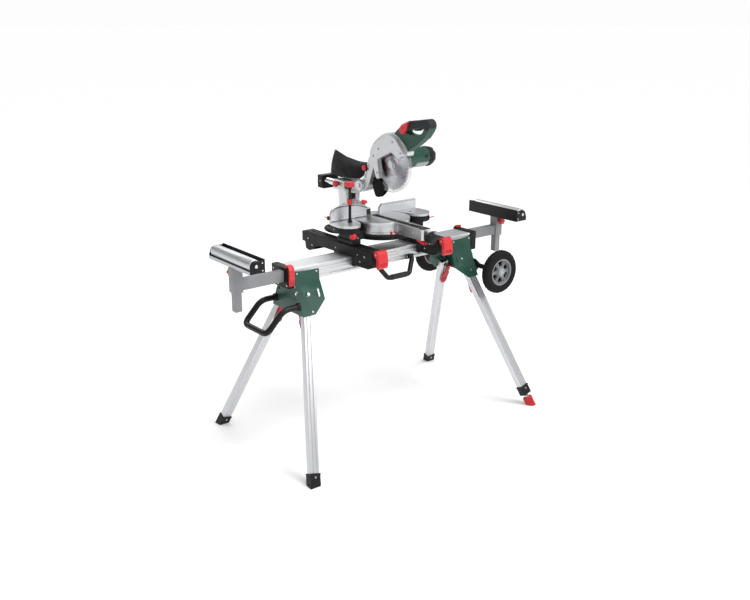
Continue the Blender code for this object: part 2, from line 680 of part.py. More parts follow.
# --- saw base, turntable and fences -----------------------------------------------------------
def make_saw_base(mats):
    """Cast base: round floor plate, a table wing on each side and four feet on the rails."""
    floor = disc("Z", (SAW_X, 0), TABLE_RADIUS + 0.005, BASE_PLATE, TABLE_FLOOR - GAP, 32)
    left = [(-0.233, 0.060), (-0.240, 0.016), (-0.242, -0.022), (-0.222, -0.058), (-0.190, -0.074),
            (-0.160, -0.066), (-0.143, -0.045), (-0.126, 0.005), (-0.118, 0.060)]
    add = []
    for side in (-1, 1):
        outline = left if side < 0 else [(2 * SAW_X - x, y) for x, y in left]
        add.append(prism(outline, "Z", WING_BOTTOM, TABLE_Z))
        rail = RAIL_X[0] if side < 0 else RAIL_X[1]
        inner = SAW_X + side * 0.095
        low, high = sorted((rail + side * 0.022, inner))
        add.append(box(low, high, -0.040, 0.046, BASE_PLATE + 0.002, WING_BOTTOM + 0.002))
        add.append(box(rail - 0.022, rail + 0.022, -0.052, 0.058, BASE_BOTTOM, BASE_PLATE + 0.010))
    rear = [(-0.090, 0.060, 0.862), (-0.150, 0.165, 0.862), (-0.135, 0.225, 0.862),
            (-0.085, 0.240, 0.862), (-0.020, 0.110, 0.862)]
    add.append(bar(rounded(rear, 0.020, 2), 0.011, 8))
    well = disc("Z", (SAW_X, 0), TABLE_RADIUS + 0.001, TABLE_FLOOR - GAP, 1.0, 32)
    ledge = box(-0.30, 0.30, FENCE_Y - RUNNING_GAP, 0.07, TABLE_Z - 0.0008, TABLE_Z + 0.01)
    part("saw_base", mats["cast"], (SAW_X, 0, BASE_BOTTOM), floor, add=add, cut=[well, ledge])


def make_turntable(mats):
    """Round table with the operator's arm, the rear arm and the blade slot."""
    plate = disc("Z", (SAW_X, 0), TABLE_RADIUS, TABLE_FLOOR, TABLE_Z, 32)
    front = [(SAW_X - 0.030, -0.10), (SAW_X - 0.024, ARM_END + 0.01), (SAW_X - 0.018, ARM_END),
             (SAW_X + 0.018, ARM_END), (SAW_X + 0.024, ARM_END + 0.01), (SAW_X + 0.030, -0.10)]
    arm = prism(front, "Z", 0.886, TABLE_Z)
    rear = box(SAW_X - 0.028, SAW_X + 0.028, 0.10, 0.172, 0.884, 0.925)
    boss = disc("Y", (SAW_X, TABLE_Z), 0.044, 0.165, COLUMN_FRONT - GAP, 20)
    rebate = box(SAW_X - 0.0145, SAW_X + 0.0145, -0.262, 0.062, 0.9265, 0.94)
    kerf = box(SAW_X - 0.008, SAW_X + 0.008, -0.256, 0.056, 0.905, 0.94)
    part("turntable", mats["cast"], (SAW_X, 0, TABLE_FLOOR), plate, add=[arm, rear, boss],
         cut=[rebate, kerf])


def make_insert(mats):
    plate = box(SAW_X - 0.0142, SAW_X + 0.0142, -0.2617, 0.0617, 0.9268, TABLE_Z - 0.0004)
    slot = box(SAW_X - 0.004, SAW_X + 0.004, -0.250, 0.050, 0.90, 0.95)
    part("table_insert", mats["black"], (SAW_X, 0, 0.9268), plate, cut=[slot])


def make_mitre_knob(mats):
    centre = (SAW_X, KNOB_Z)
    face = ARM_END - GAP
    grip = prism(lobed(centre, 0.025, 5, 0.004, 20), "Y", face - 0.040, face - 0.010)
    neck = disc("Y", centre, 0.011, face - 0.012, face, 12)
    part("mitre_lock_knob", mats["black"], (SAW_X, face, KNOB_Z), grip, add=[neck], smooth=True)


def make_mitre_latch(mats):
    """Trigger under the arm that lifts the detent."""
    outline = [(-0.245, 0.8830), (-0.252, 0.872), (-0.285, 0.864), (-0.297, 0.866), (-0.290, 0.8735),
               (-0.262, 0.8830)]
    part("mitre_latch", mats["red"], (SAW_X, -0.252, 0.880),
         prism(outline, "X", SAW_X - 0.011, SAW_X + 0.011))


def make_fences(mats):
    base = TABLE_Z + 0.0005
    left = [(-0.232, base), (-0.020, base), (-0.020, 0.968), (-0.066, 0.986), (-0.100, 0.996),
            (-0.180, 0.998), (-0.212, 0.992), (-0.232, 0.968)]
    part("fence_left", mats["aluminium"], (-0.232, FENCE_Y, base),
         prism(left, "Y", FENCE_Y, FENCE_Y + FENCE_THICK))
    right = [(0.030, base), (0.240, base), (0.240, 0.974), (0.046, 0.976), (0.030, 0.960)]
    part("fence_right", mats["aluminium"], (0.240, FENCE_Y, base),
         prism(right, "Y", FENCE_Y, FENCE_Y + FENCE_THICK))


# --- bevel column and slide -------------------------------------------------------------------
def slide_spots():
    return [(SAW_X + side * SLIDE_SPREAD, SLIDE_Z) for side in (-1, 1)]


def make_column(mats):
    """Tilting column with the housing that the slide rails run through."""
    boss = disc("Y", (SAW_X, TABLE_Z), 0.044, COLUMN_FRONT, COLUMN_FRONT + 0.036, 20)
    stem = [(SAW_X - 0.034, 0.945), (SAW_X + 0.034, 0.945), (SAW_X + 0.040, 1.026), (SAW_X - 0.040, 1.026)]
    post = prism(stem, "Y", COLUMN_FRONT + 0.004, COLUMN_BACK - 0.020)
    housing = [(SAW_X - 0.052, 1.020), (SAW_X + 0.052, 1.020), (SAW_X + 0.052, 1.057),
               (SAW_X + 0.046, 1.0625), (SAW_X - 0.046, 1.0625), (SAW_X - 0.052, 1.057)]
    head = prism(housing, "Y", COLUMN_FRONT, COLUMN_BACK)
    bores = [disc("Y", spot, SLIDE_RADIUS + RUNNING_GAP, 0.1, 0.4, 16) for spot in slide_spots()]
    part("bevel_column", mats["cast"], (SAW_X, COLUMN_FRONT, TABLE_Z), boss, add=[post, head],
         cut=[joined(bores)])


def make_bevel_lever(mats):
    near = COLUMN_BACK - 0.020 + GAP
    hub = disc("Y", (SAW_X, 0.952), 0.014, near, near + 0.014, 12)
    grip = [(SAW_X - 0.007, 0.952), (SAW_X + 0.007, 0.952), (SAW_X + 0.040, 0.893), (SAW_X + 0.033, 0.884),
            (SAW_X + 0.024, 0.887)]
    part("bevel_lock_lever", mats["black"], (SAW_X, near, 0.952), hub,
         add=[prism(grip, "Y", near + 0.004, near + 0.014)])


def make_slide(mats):
    """Two slide rails joined by the front carriage and the rear end cap."""
    rails = [disc("Y", spot, SLIDE_RADIUS, 0.140, SLIDE_BACK + 0.004, 16) for spot in slide_spots()]
    cap = box(SAW_X - 0.054, SAW_X + 0.054, SLIDE_BACK, SLIDE_BACK + 0.024,
              SLIDE_Z - 0.034, SLIDE_Z + 0.022)
    block = box(SAW_X - 0.050, SAW_X + 0.050, 0.131, 0.158, 1.022, 1.066)
    ears = []
    for side in (-1, 1):
        low, high = sorted((SAW_X + side * 0.0335, SAW_X + side * 0.047))
        outline = circle((PIVOT_Y, PIVOT_Z), 0.022, 7, radians(75), radians(260))
        outline += [(0.150, 1.026), (0.150, 1.064), (0.128, 1.070)]
        ears.append(prism(outline, "X", low, high))
    pin = rod((SAW_X - 0.046, PIVOT_Y, PIVOT_Z), (SAW_X + 0.046, PIVOT_Y, PIVOT_Z), 0.007, 12)
    part("slide_rails", mats["steel"], (SAW_X, PIVOT_Y, SLIDE_Z), block, add=[*rails, cap, *ears, pin])


def make_rail_knob(mats):
    face = SAW_X - 0.052 - GAP
    centre = (0.245, SLIDE_Z + 0.004)
    grip = prism(lobed(centre, 0.014, 6, 0.003, 24), "X", face - 0.024, face - 0.007)
    part("rail_lock_knob", mats["red"], (face, *centre), grip,
         add=[disc("X", centre, 0.006, face - 0.009, face, 10)], smooth=True)


# --- saw head ---------------------------------------------------------------------------------
def from_arbor(points):
    return [(BLADE_Y + y, BLADE_Z + z) for y, z in points]


def make_head_arm(mats):
    """Upper blade guard and the arm that joins it to the head pivot."""
    rim = [(0.050, -0.040), (0.093, -0.030), (0.114, -0.006), (0.130, 0.014), (0.124, 0.052),
           (0.098, 0.086), (0.030, 0.128), (-0.010, 0.134), (-0.050, 0.127), (-0.092, 0.100),
           (-0.120, 0.066), (-0.116, 0.050), (-0.060, 0.030)]
    guard = prism(from_arbor(rim), "X", SAW_X - 0.017, SAW_X + 0.032)
    face = [(0.046, -0.062), (0.066, -0.064), (0.108, 0.034), (0.084, 0.076), (-0.010, 0.126),
            (-0.060, 0.112), (-0.108, 0.058), (-0.080, 0.036), (-0.030, 0.058), (0.060, 0.016)]
    cheek = prism(from_arbor(face), "X", SAW_X - 0.034, SAW_X - 0.015)
    link = [(0.070, 0.030), (0.118, 0.020), (0.150, -0.060), (0.166, -0.084), (0.190, -0.094),
            (0.194, -0.118), (0.176, -0.132), (0.150, -0.130), (0.128, -0.110), (0.104, -0.060)]
    arm = prism(from_arbor(link), "X", SAW_X - 0.032, SAW_X + 0.032)
    inside = disc("X", (BLADE_Y, BLADE_Z), CAVITY_RADIUS, SAW_X - 0.0125, SAW_X + 0.0125, 32)
    opening = [(-0.084, 0.034), (-0.030, 0.058), (0.060, 0.016), (0.045, -0.045), (0.020, -0.12),
               (-0.10, -0.10), (-0.14, 0.02)]
    window = prism(from_arbor(opening), "X", SAW_X - 0.05, SAW_X - 0.002)
    bore = rod((SAW_X - 0.06, PIVOT_Y, PIVOT_Z), (SAW_X + 0.06, PIVOT_Y, PIVOT_Z), 0.0075, 12)
    part("head_arm", mats["cast"], (SAW_X, PIVOT_Y, PIVOT_Z), guard, add=[cheek, arm],
         cut=[inside, window, bore])


def make_blade(mats):
    teeth = 24
    tooth_points = ((0.0, BLADE_RADIUS), (0.10, BLADE_RADIUS - 0.007), (0.17, BLADE_RADIUS - 0.003))
    outline = []
    for tooth in range(teeth):
        turn = 2 * pi * tooth / teeth
        for offset, reach in tooth_points:
            angle = turn + offset
            outline.append((BLADE_Y + reach * cos(angle), BLADE_Z + reach * sin(angle)))
    disk = prism(outline, "X", SAW_X - BLADE_HALF, SAW_X + BLADE_HALF)
    flange = disc("X", (BLADE_Y, BLADE_Z), 0.020, SAW_X - 0.006, SAW_X + 0.0080, 16)
    bolt = disc("X", (BLADE_Y, BLADE_Z), 0.008, SAW_X - 0.011, SAW_X, 6)
    part("blade", mats["steel"], (SAW_X, BLADE_Y, BLADE_Z), disk, add=[flange, bolt])


def make_lower_guard(mats):
    """Clear guard: a channel round the blade's lower front with an arm to the arbor."""
    profile = [(0.078, -0.0110), (GUARD_RADIUS, -0.0110), (GUARD_RADIUS, 0.0110), (0.090, 0.0110),
               (0.090, 0.0090), (GUARD_RADIUS - 0.003, 0.0090), (GUARD_RADIUS - 0.003, -0.0090),
               (0.078, -0.0090)]
    shell = arc_ring([(radius, SAW_X + x) for radius, x in profile], (BLADE_Y, BLADE_Z),
                     radians(160), radians(300), 14)
    spoke = prism(from_arbor([(0.012, 0.010), (-0.012, 0.010), (-0.082, -0.020), (-0.060, -0.062),
                              (0.008, -0.014)]), "X", SAW_X - 0.0110, SAW_X - 0.0090)
    hub_hole = disc("X", (BLADE_Y, BLADE_Z), 0.0095, SAW_X - 0.02, SAW_X - 0.0075, 12)
    ring = disc("X", (BLADE_Y, BLADE_Z), 0.018, SAW_X - 0.0110, SAW_X - 0.0090, 16)
    part("lower_guard", mats["clear"], (SAW_X, BLADE_Y, BLADE_Z), shell, add=[spoke, ring], cut=[hub_hole])


def make_motor(mats):
    """Motor barrel with its faceted end, to the right of the guard."""
    centre = (MOTOR_Y, MOTOR_Z)
    start = SAW_X + 0.032 + GAP
    levels = [(start, 0.044), (0.090, 0.044), (0.093, MOTOR_RADIUS), (MOTOR_END - 0.026, MOTOR_RADIUS),
              (MOTOR_END - 0.010, 0.036), (MOTOR_END, 0.027)]
    rings = [[placed("X", spot, x) for spot in circle(centre, radius, 16, pi / 16, 2 * pi + pi / 16)]
             for x, radius in levels]
    part("motor_housing", mats["green"], (start, *centre), from_rings(rings), smooth=True)


def make_handle(mats):
    """Closed handle in the blade's plane, ahead of the guard."""
    outer = [(-0.138, 1.334), (-0.176, 1.356), (-0.290, 1.376), (-0.308, 1.371), (-0.318, 1.354),
             (-0.314, 1.334), (-0.284, 1.300), (-0.228, 1.262)]
    seat = [(-0.1175, 0.069), (-0.092, 0.100), (-0.050, 0.127), (-0.028, 0.1309)]
    outer += from_arbor([(1.006 * y, 1.006 * z) for y, z in seat])
    hole = [(-0.176, 1.322), (-0.186, 1.309), (-0.212, 1.300), (-0.262, 1.310), (-0.282, 1.326),
            (-0.286, 1.338), (-0.278, 1.344), (-0.190, 1.330)]
    low, high = HANDLE_X - HANDLE_HALF, HANDLE_X + HANDLE_HALF
    pocket = [(-0.208, 1.330), (-0.254, 1.336), (-0.2555, 1.3465), (-0.2095, 1.3395)]
    part("main_handle", mats["green"], (HANDLE_X, -0.170, 1.300), prism(outer, "X", low, high),
         cut=[prism(hole, "X", low - 0.01, high + 0.01),
              prism(pocket, "X", HANDLE_X - 0.0112, HANDLE_X + 0.0112)])


def make_trigger(mats):
    outline = [(-0.212, 1.3350), (-0.250, 1.3410), (-0.252, 1.333), (-0.242, 1.326), (-0.216, 1.324)]
    part("trigger", mats["black"], (HANDLE_X, -0.231, 1.332),
         prism(outline, "X", HANDLE_X - 0.010, HANDLE_X + 0.010))


def make_trigger_lock(mats):
    """Red safety button on the handle's left cheek."""
    low = HANDLE_X - HANDLE_HALF - GAP
    outline = [(-0.142, 1.320), (-0.148, 1.336), (-0.160, 1.346), (-0.196, 1.359), (-0.186, 1.326),
               (-0.168, 1.308), (-0.150, 1.308)]
    part("trigger_lock", mats["red"], (low, -0.168, 1.332), prism(outline, "X", low - 0.009, low))


def make_dust_bag(mats):
    sections = [(0.078, 1.138, 0.017, 0.016, 0.0), (0.105, 1.131, 0.028, 0.024, 0.0),
                (0.165, 1.114, 0.040, 0.040, 0.0), (0.250, 1.115, 0.044, 0.047, 0.1),
                (0.325, 1.125, 0.030, 0.054, 0.28), (0.350, 1.129, 0.010, 0.057, 0.30)]
    rings = []
    for y, z, half_x, half_z, lean in sections:
        ring = []
        for step in range(10):
            turn = 2 * pi * step / 10
            ring.append((SAW_X - 0.004 + half_x * cos(turn), y - lean * half_z * sin(turn),
                         z + half_z * sin(turn)))
        rings.append(ring)
    part("dust_bag", mats["fabric"], (SAW_X, 0.078, 1.138), from_rings(rings), smooth=True)


# --- hold-down clamp --------------------------------------------------------------------------
def make_clamp(mats):
    base = TABLE_Z + GAP
    post = rod((CLAMP_X, CLAMP_Y, base), (CLAMP_X, CLAMP_Y, 1.070), 0.006, 10)
    collar = rod((CLAMP_X, CLAMP_Y, 1.008), (CLAMP_X, CLAMP_Y, 1.028), 0.011, 10)
    level = 1.018
    def along(reach):
        return (CLAMP_X + reach * cos(CLAMP_TURN), CLAMP_Y + reach * sin(CLAMP_TURN), level)
    arm = rod(along(0.0), along(0.052), 0.0055, 8)
    tip = rod(along(0.050), along(0.074), 0.010, 10, 0.005)
    part("work_clamp", mats["black"], (CLAMP_X, CLAMP_Y, base), post, add=[collar, arm, tip])


def make_clamp_knob(mats):
    base = 1.070 + GAP
    cone = rod((CLAMP_X, CLAMP_Y, base), (CLAMP_X, CLAMP_Y, 1.084), 0.008, 12, 0.013)
    grip = prism(lobed((CLAMP_X, CLAMP_Y), 0.020, 6, 0.004, 24), "Z", 1.082, 1.104)
    part("work_clamp_knob", mats["red"], (CLAMP_X, CLAMP_Y, base), grip, add=[cone], smooth=True)


def make_stand(mats):
    make_beam(mats)
    make_pull_handle(mats)
    make_carry_handle(mats)
    make_axle(mats)
    make_leveller(mats)
    for front in (-1, 1):
        make_wheel(front, mats)
    for side in (-1, 1):
        make_end_cap(side, mats)
        make_arm_lever(side, mats)
        make_bracket(side, mats)
        make_extension(side, mats)
        make_post(side, mats)
        make_roller(side, mats)
        make_height_knob(side, mats)
        make_tool_rail(side, mats)
        make_rail_lever(side, mats)
        for front in (-1, 1):
            make_leg(side, front, mats)
            make_boot(side, front, mats)
            make_release(side, front, mats)


def make_saw(mats):
    make_saw_base(mats)
    make_turntable(mats)
    make_insert(mats)
    make_mitre_knob(mats)
    make_mitre_latch(mats)
    make_fences(mats)
    make_column(mats)
    make_bevel_lever(mats)
    make_slide(mats)
    make_rail_knob(mats)
    make_head_arm(mats)
    make_blade(mats)
    make_lower_guard(mats)
    make_motor(mats)
    make_handle(mats)
    make_trigger(mats)
    make_trigger_lock(mats)
    make_dust_bag(mats)
    make_clamp(mats)
    make_clamp_knob(mats)


clear_scene()
materials = make_materials()
make_stand(materials)
make_saw(materials)
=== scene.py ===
"""Finished look of the sliding mitre saw on its folding stand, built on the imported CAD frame.

Metres, +Z up, floor at z = 0. +X runs along the beam to the wheels, -Y is the operator's side.
"""
import json
from math import atan2, cos, pi, radians, sin, tan

import bmesh
import bpy
from mathutils import Matrix, Vector, noise


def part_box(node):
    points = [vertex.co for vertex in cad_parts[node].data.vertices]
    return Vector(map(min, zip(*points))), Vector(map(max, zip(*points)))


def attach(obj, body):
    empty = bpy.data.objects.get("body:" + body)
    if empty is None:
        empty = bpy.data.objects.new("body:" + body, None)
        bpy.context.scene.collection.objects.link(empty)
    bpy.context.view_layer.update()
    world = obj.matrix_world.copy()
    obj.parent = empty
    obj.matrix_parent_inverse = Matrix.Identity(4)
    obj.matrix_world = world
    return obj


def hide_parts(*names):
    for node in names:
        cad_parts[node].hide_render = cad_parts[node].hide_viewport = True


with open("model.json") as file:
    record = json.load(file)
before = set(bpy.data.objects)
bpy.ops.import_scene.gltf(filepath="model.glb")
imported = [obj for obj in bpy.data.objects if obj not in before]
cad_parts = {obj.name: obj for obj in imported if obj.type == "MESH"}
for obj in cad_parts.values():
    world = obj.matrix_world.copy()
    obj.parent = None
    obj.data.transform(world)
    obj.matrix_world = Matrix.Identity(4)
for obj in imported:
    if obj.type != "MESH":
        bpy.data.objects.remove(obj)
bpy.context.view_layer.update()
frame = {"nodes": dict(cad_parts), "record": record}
BODY_OF = {node: body for body, nodes in frame["record"]["behaviour"]["bodies"].items() for node in nodes}

# --- places shared by several pieces ------------------------------------------------------------
SAW_X = 0.005                      # the blade's plane
TABLE_Z = 0.932
BEAM_HALF = 0.4915
BEAM_HALF_WIDTH = 0.055
BRACKET_OUT = 0.4905
BEND_Z = 0.7355
FLARE = radians(24.0)              # side plates and legs lean out by this angle
SPLAY = radians(14.0)              # legs lean towards the ends by this angle
LEG_PIVOT = {-1: (0.443, 0.686), 1: (0.452, 0.635)}
LEG_THICK = 0.030
AXLE = (0.510, 0.646)              # x, z
POST_X = 0.738
ARM_Y = 0.0205
ROLLER = (0.727, 0.870)            # |x|, z
RAIL_X = (-0.170, 0.190)
PIVOT = (0.100, 1.060)             # y, z of the head's hinge
ARBOR = (-0.072, 1.170)            # y, z of the blade's centre
SLIDE_Z = 1.044
SLIDE_SPREAD = 0.033
MOTOR = (-0.086, 1.190)            # y, z of the motor's axis
HANDLE_X = 0.010
CLAMP = (-0.163, 0.004)            # x, y of the hold-down's post
CLAMP_TURN = radians(-38.0)
GAP = 0.0003                       # clearance between seated parts
PLATE_GAP = 0.0006                 # clearance of a leg or a side plate against its neighbour
PLATE_THICK = 0.003
BEAM_LOW, BEAM_HIGH = 0.737, 0.797
HANDLE_Z = 0.643                   # the pull handle's ends
RELEASE_Z = 0.614                  # the release levers' pivots
KNOB_Z = 0.812                     # the height knobs' axes
CHANNEL_Z = 0.8388                 # the roller channels' undersides
TABLE_TOP = 0.9312                 # the table's screws, lips and cover are set in from here
SCREW_RECESS = 0.55                # a recess's depth as a share of the head's height
BACK_LEAN = 0.30                   # how far the bag's rear end tips per metre of height


# --- materials ----------------------------------------------------------------------------------
class Finish:
    """A Principled material under construction, with its textures in object space."""

    def __init__(self, name, colour, roughness, metallic=0.0, turn=None, stretch=(1, 1, 1), **constants):
        self.material = bpy.data.materials.new(name)
        self.material.use_nodes = True
        self.tree = self.material.node_tree
        self.shader = self.tree.nodes["Principled BSDF"]
        self.colour = colour
        self.shader.inputs["Base Color"].default_value = (*colour, 1.0)
        self.shader.inputs["Roughness"].default_value = roughness
        self.shader.inputs["Metallic"].default_value = metallic
        for socket, value in constants.items():
            self.shader.inputs[socket.replace("_", " ")].default_value = value
        self.height = None
        self.place = self.mapped(turn, stretch)

    def node(self, kind):
        return self.tree.nodes.new(kind)

    def mapped(self, turn=None, stretch=(1, 1, 1)):
        """Object coordinates turned into a part's own axes, then scaled."""
        source = self.node("ShaderNodeTexCoord")
        mapping = self.node("ShaderNodeMapping")
        mapping.vector_type = "TEXTURE"
        if turn is not None:
            mapping.inputs["Rotation"].default_value = turn.to_euler()
        mapping.inputs["Scale"].default_value = [1.0 / share for share in stretch]
        self.tree.links.new(source.outputs["Object"], mapping.inputs["Vector"])
        return mapping.outputs["Vector"]

    def noise(self, scale, detail=3.0, rough=0.55, place=None):
        texture = self.node("ShaderNodeTexNoise")
        texture.inputs["Scale"].default_value = scale
        texture.inputs["Detail"].default_value = detail
        texture.inputs["Roughness"].default_value = rough
        self.tree.links.new(place or self.place, texture.inputs["Vector"])
        return texture.outputs["Fac"]

    def cells(self, scale, place=None):
        texture = self.node("ShaderNodeTexVoronoi")
        texture.inputs["Scale"].default_value = scale
        self.tree.links.new(place or self.place, texture.inputs["Vector"])
        return texture.outputs["Distance"]

    def waves(self, scale, axis, distortion=0.0, place=None):
        texture = self.node("ShaderNodeTexWave")
        texture.bands_direction = axis
        texture.inputs["Scale"].default_value = scale
        texture.inputs["Distortion"].default_value = distortion
        texture.inputs["Detail"].default_value = 0.0
        self.tree.links.new(place or self.place, texture.inputs["Vector"])
        return texture.outputs["Fac"]

    def mixed(self, first, second, operation="MULTIPLY"):
        """One Math node over two fields."""
        result = self.node("ShaderNodeMath")
        result.operation = operation
        self.tree.links.new(first, result.inputs[0])
        self.tree.links.new(second, result.inputs[1])
        return result.outputs[0]

    def tint(self, field, spread, middle=0.5, width=0.25):
        """Base colour swinging darker and lighter with a field."""
        stops = self.node("ShaderNodeValToRGB")
        stops.color_ramp.elements[0].position = middle - width
        stops.color_ramp.elements[1].position = middle + width
        for element, share in zip(stops.color_ramp.elements, (1.0 - spread, 1.0 + spread)):
            element.color = (*[min(1.0, part * share) for part in self.colour], 1.0)
        self.tree.links.new(field, stops.inputs["Fac"])
        self.tree.links.new(stops.outputs["Color"], self.shader.inputs["Base Color"])
        return self

    def gloss(self, field, low, high, middle=0.5, width=0.25):
        """Roughness between two values with a field."""
        span = self.node("ShaderNodeMapRange")
        span.inputs["From Min"].default_value = middle - width
        span.inputs["From Max"].default_value = middle + width
        span.inputs["To Min"].default_value = low
        span.inputs["To Max"].default_value = high
        self.tree.links.new(field, span.inputs["Value"])
        self.tree.links.new(span.outputs["Result"], self.shader.inputs["Roughness"])
        return self

    def relief(self, field, strength, depth):
        """Bump of a given depth in metres, on top of any earlier one."""
        bump = self.node("ShaderNodeBump")
        bump.inputs["Strength"].default_value = strength
        bump.inputs["Distance"].default_value = depth
        self.tree.links.new(field, bump.inputs["Height"])
        if self.height is not None:
            self.tree.links.new(self.height, bump.inputs["Normal"])
        self.height = bump.outputs["Normal"]
        self.tree.links.new(self.height, self.shader.inputs["Normal"])
        return self


def extruded(name, stretch, turn=None, colour=(0.68, 0.69, 0.71), roughness=(0.36, 0.50)):
    """Satin aluminium with fine die lines along its length."""
    finish = Finish(name, colour, 0.33, 1.0, turn=turn, stretch=stretch)
    lines = finish.noise(1.0, 4.0, 0.6)
    finish.tint(lines, 0.07).gloss(lines, *roughness).relief(lines, 0.25, 0.0001)
    return finish.material


def cast_metal(name, colour, metallic=0.85, roughness=(0.40, 0.56)):
    """Shot-blasted casting: fine grain over soft patches."""
    finish = Finish(name, colour, 0.48, metallic)
    grain = finish.noise(1100.0, 3.0, 0.6)
    patches = finish.noise(22.0, 3.0)
    finish.tint(patches, 0.06).gloss(patches, *roughness).relief(grain, 0.35, 0.00018)
    return finish.material


def moulded(name, colour, roughness=(0.38, 0.52), grain_depth=0.00008, **constants):
    """Moulded plastic with an eroded grain."""
    finish = Finish(name, colour, 0.45, **constants)
    grain = finish.noise(1500.0, 2.0)
    patches = finish.noise(35.0, 2.0)
    finish.tint(patches, 0.08).gloss(patches, *roughness).relief(grain, 0.4, grain_depth)
    return finish.material


def coated(name, colour, roughness=(0.30, 0.42), **constants):
    """Powder coat with its orange peel."""
    finish = Finish(name, colour, 0.36, **constants)
    peel = finish.noise(420.0, 2.0, 0.4)
    patches = finish.noise(14.0, 3.0)
    finish.tint(patches, 0.07).gloss(patches, *roughness).relief(peel, 0.22, 0.00025)
    return finish.material


def rubber_like(name, colour, roughness=(0.66, 0.84)):
    finish = Finish(name, colour, 0.75, Specular_IOR_Level=0.22)
    patches = finish.noise(60.0, 4.0)
    grain = finish.noise(900.0, 2.0)
    finish.tint(patches, 0.18).gloss(patches, *roughness).relief(grain, 0.5, 0.00012)
    return finish.material


def gripped(name, colour):
    """Soft over-moulded grip with a pebbled surface."""
    finish = Finish(name, colour, 0.6, Specular_IOR_Level=0.3)
    pebbles = finish.cells(620.0)
    patches = finish.noise(40.0, 2.0)
    finish.tint(patches, 0.12).gloss(patches, 0.52, 0.68).relief(pebbles, 0.5, 0.0003)
    return finish.material


def woven(name, colour):
    """Plain-weave bag cloth: crossed threads, slubs and a soft sheen."""
    finish = Finish(name, colour, 0.88, Sheen_Weight=0.12, Sheen_Roughness=0.45, Specular_IOR_Level=0.2)
    warp = finish.waves(260.0, "Y", 0.6)
    weft = finish.waves(260.0, "Z", 0.6)
    weave = finish.mixed(warp, weft, "MAXIMUM")
    slubs = finish.noise(95.0, 4.0, 0.65)
    finish.tint(slubs, 0.32).gloss(slubs, 0.80, 0.95).relief(weave, 0.55, 0.0004).relief(slubs, 0.3, 0.0004)
    return finish.material


def ground_steel(name, colour, centre, roughness=(0.24, 0.36)):
    """Steel ground in circles round an X axis at centre (y, z), with a painted highlight: base colour
    brighter and darker in three radial streaks round the centre.
    """
    finish = Finish(name, colour, 0.22, 1.0)
    split = finish.node("ShaderNodeSeparateXYZ")
    finish.tree.links.new(finish.place, split.inputs[0])
    squares, offsets = [], []
    for axis, middle in (("Y", centre[0]), ("Z", centre[1])):
        offset = finish.node("ShaderNodeMath")
        offset.operation = "SUBTRACT"
        offset.inputs[1].default_value = middle
        finish.tree.links.new(split.outputs[axis], offset.inputs[0])
        squares.append(finish.mixed(offset.outputs[0], offset.outputs[0]))
        offsets.append(offset.outputs[0])
    total = finish.mixed(*squares, "ADD")
    radius = finish.mixed(total, total, "MAXIMUM")
    root = finish.node("ShaderNodeMath")
    root.operation = "SQRT"
    finish.tree.links.new(radius, root.inputs[0])
    joined_up = finish.node("ShaderNodeCombineXYZ")
    finish.tree.links.new(root.outputs[0], joined_up.inputs[0])
    rings = finish.noise(1400.0, 4.0, 0.7, place=joined_up.outputs[0])
    # painted highlight: the base colour swings from half to one and a half times its value by angle round
    # the centre, in three radial streaks that stand in for the blade's glint
    turn = finish.mixed(offsets[1], offsets[0], "ARCTAN2")
    spokes = finish.mixed(finish.mixed(turn, turn, "ADD"), turn, "ADD")
    sheen = finish.node("ShaderNodeMath")
    sheen.operation = "SINE"
    finish.tree.links.new(spokes, sheen.inputs[0])
    share = finish.node("ShaderNodeMapRange")
    share.inputs["From Min"].default_value = -1.0
    finish.tree.links.new(sheen.outputs[0], share.inputs["Value"])
    finish.tint(share.outputs["Result"], 0.50, 0.5, 0.5).gloss(rings, *roughness).relief(rings, 0.20,
                                                                                         0.00006)
    return finish.material


def clear_plastic(name, alpha):
    finish = Finish(name, (0.62, 0.65, 0.68), 0.10, Alpha=alpha, Specular_IOR_Level=0.6)
    smears = finish.noise(30.0, 3.0)
    finish.tint(smears, 0.04).gloss(smears, 0.06, 0.16)
    return finish.material


def stage_material():
    """Matt white paper."""
    finish = Finish("floor paper", (0.93, 0.93, 0.93), 0.9, Specular_IOR_Level=0.1, Emission_Strength=0.12)
    fibres = finish.noise(3.0, 4.0)
    finish.tint(fibres, 0.006).gloss(fibres, 0.85, 0.95)
    return finish.material


def leg_turn(side, front):
    """A leg's own axes: across it, through its flat face, and along it."""
    normal = Vector((0, front * cos(FLARE), sin(FLARE)))
    down = Vector((0, front * sin(FLARE), -cos(FLARE)))
    along = down * cos(SPLAY) + Vector((side * sin(SPLAY), 0, 0))
    across = Vector((side * cos(SPLAY), 0, 0)) - down * sin(SPLAY)
    return across, normal, -along


def leg_rotation(side, front):
    axes = leg_turn(side, front)
    turn = Matrix([[axis[row] for axis in axes] for row in range(3)])
    if turn.determinant() < 0:
        turn = Matrix([[-row[0], row[1], row[2]] for row in turn])
    return turn


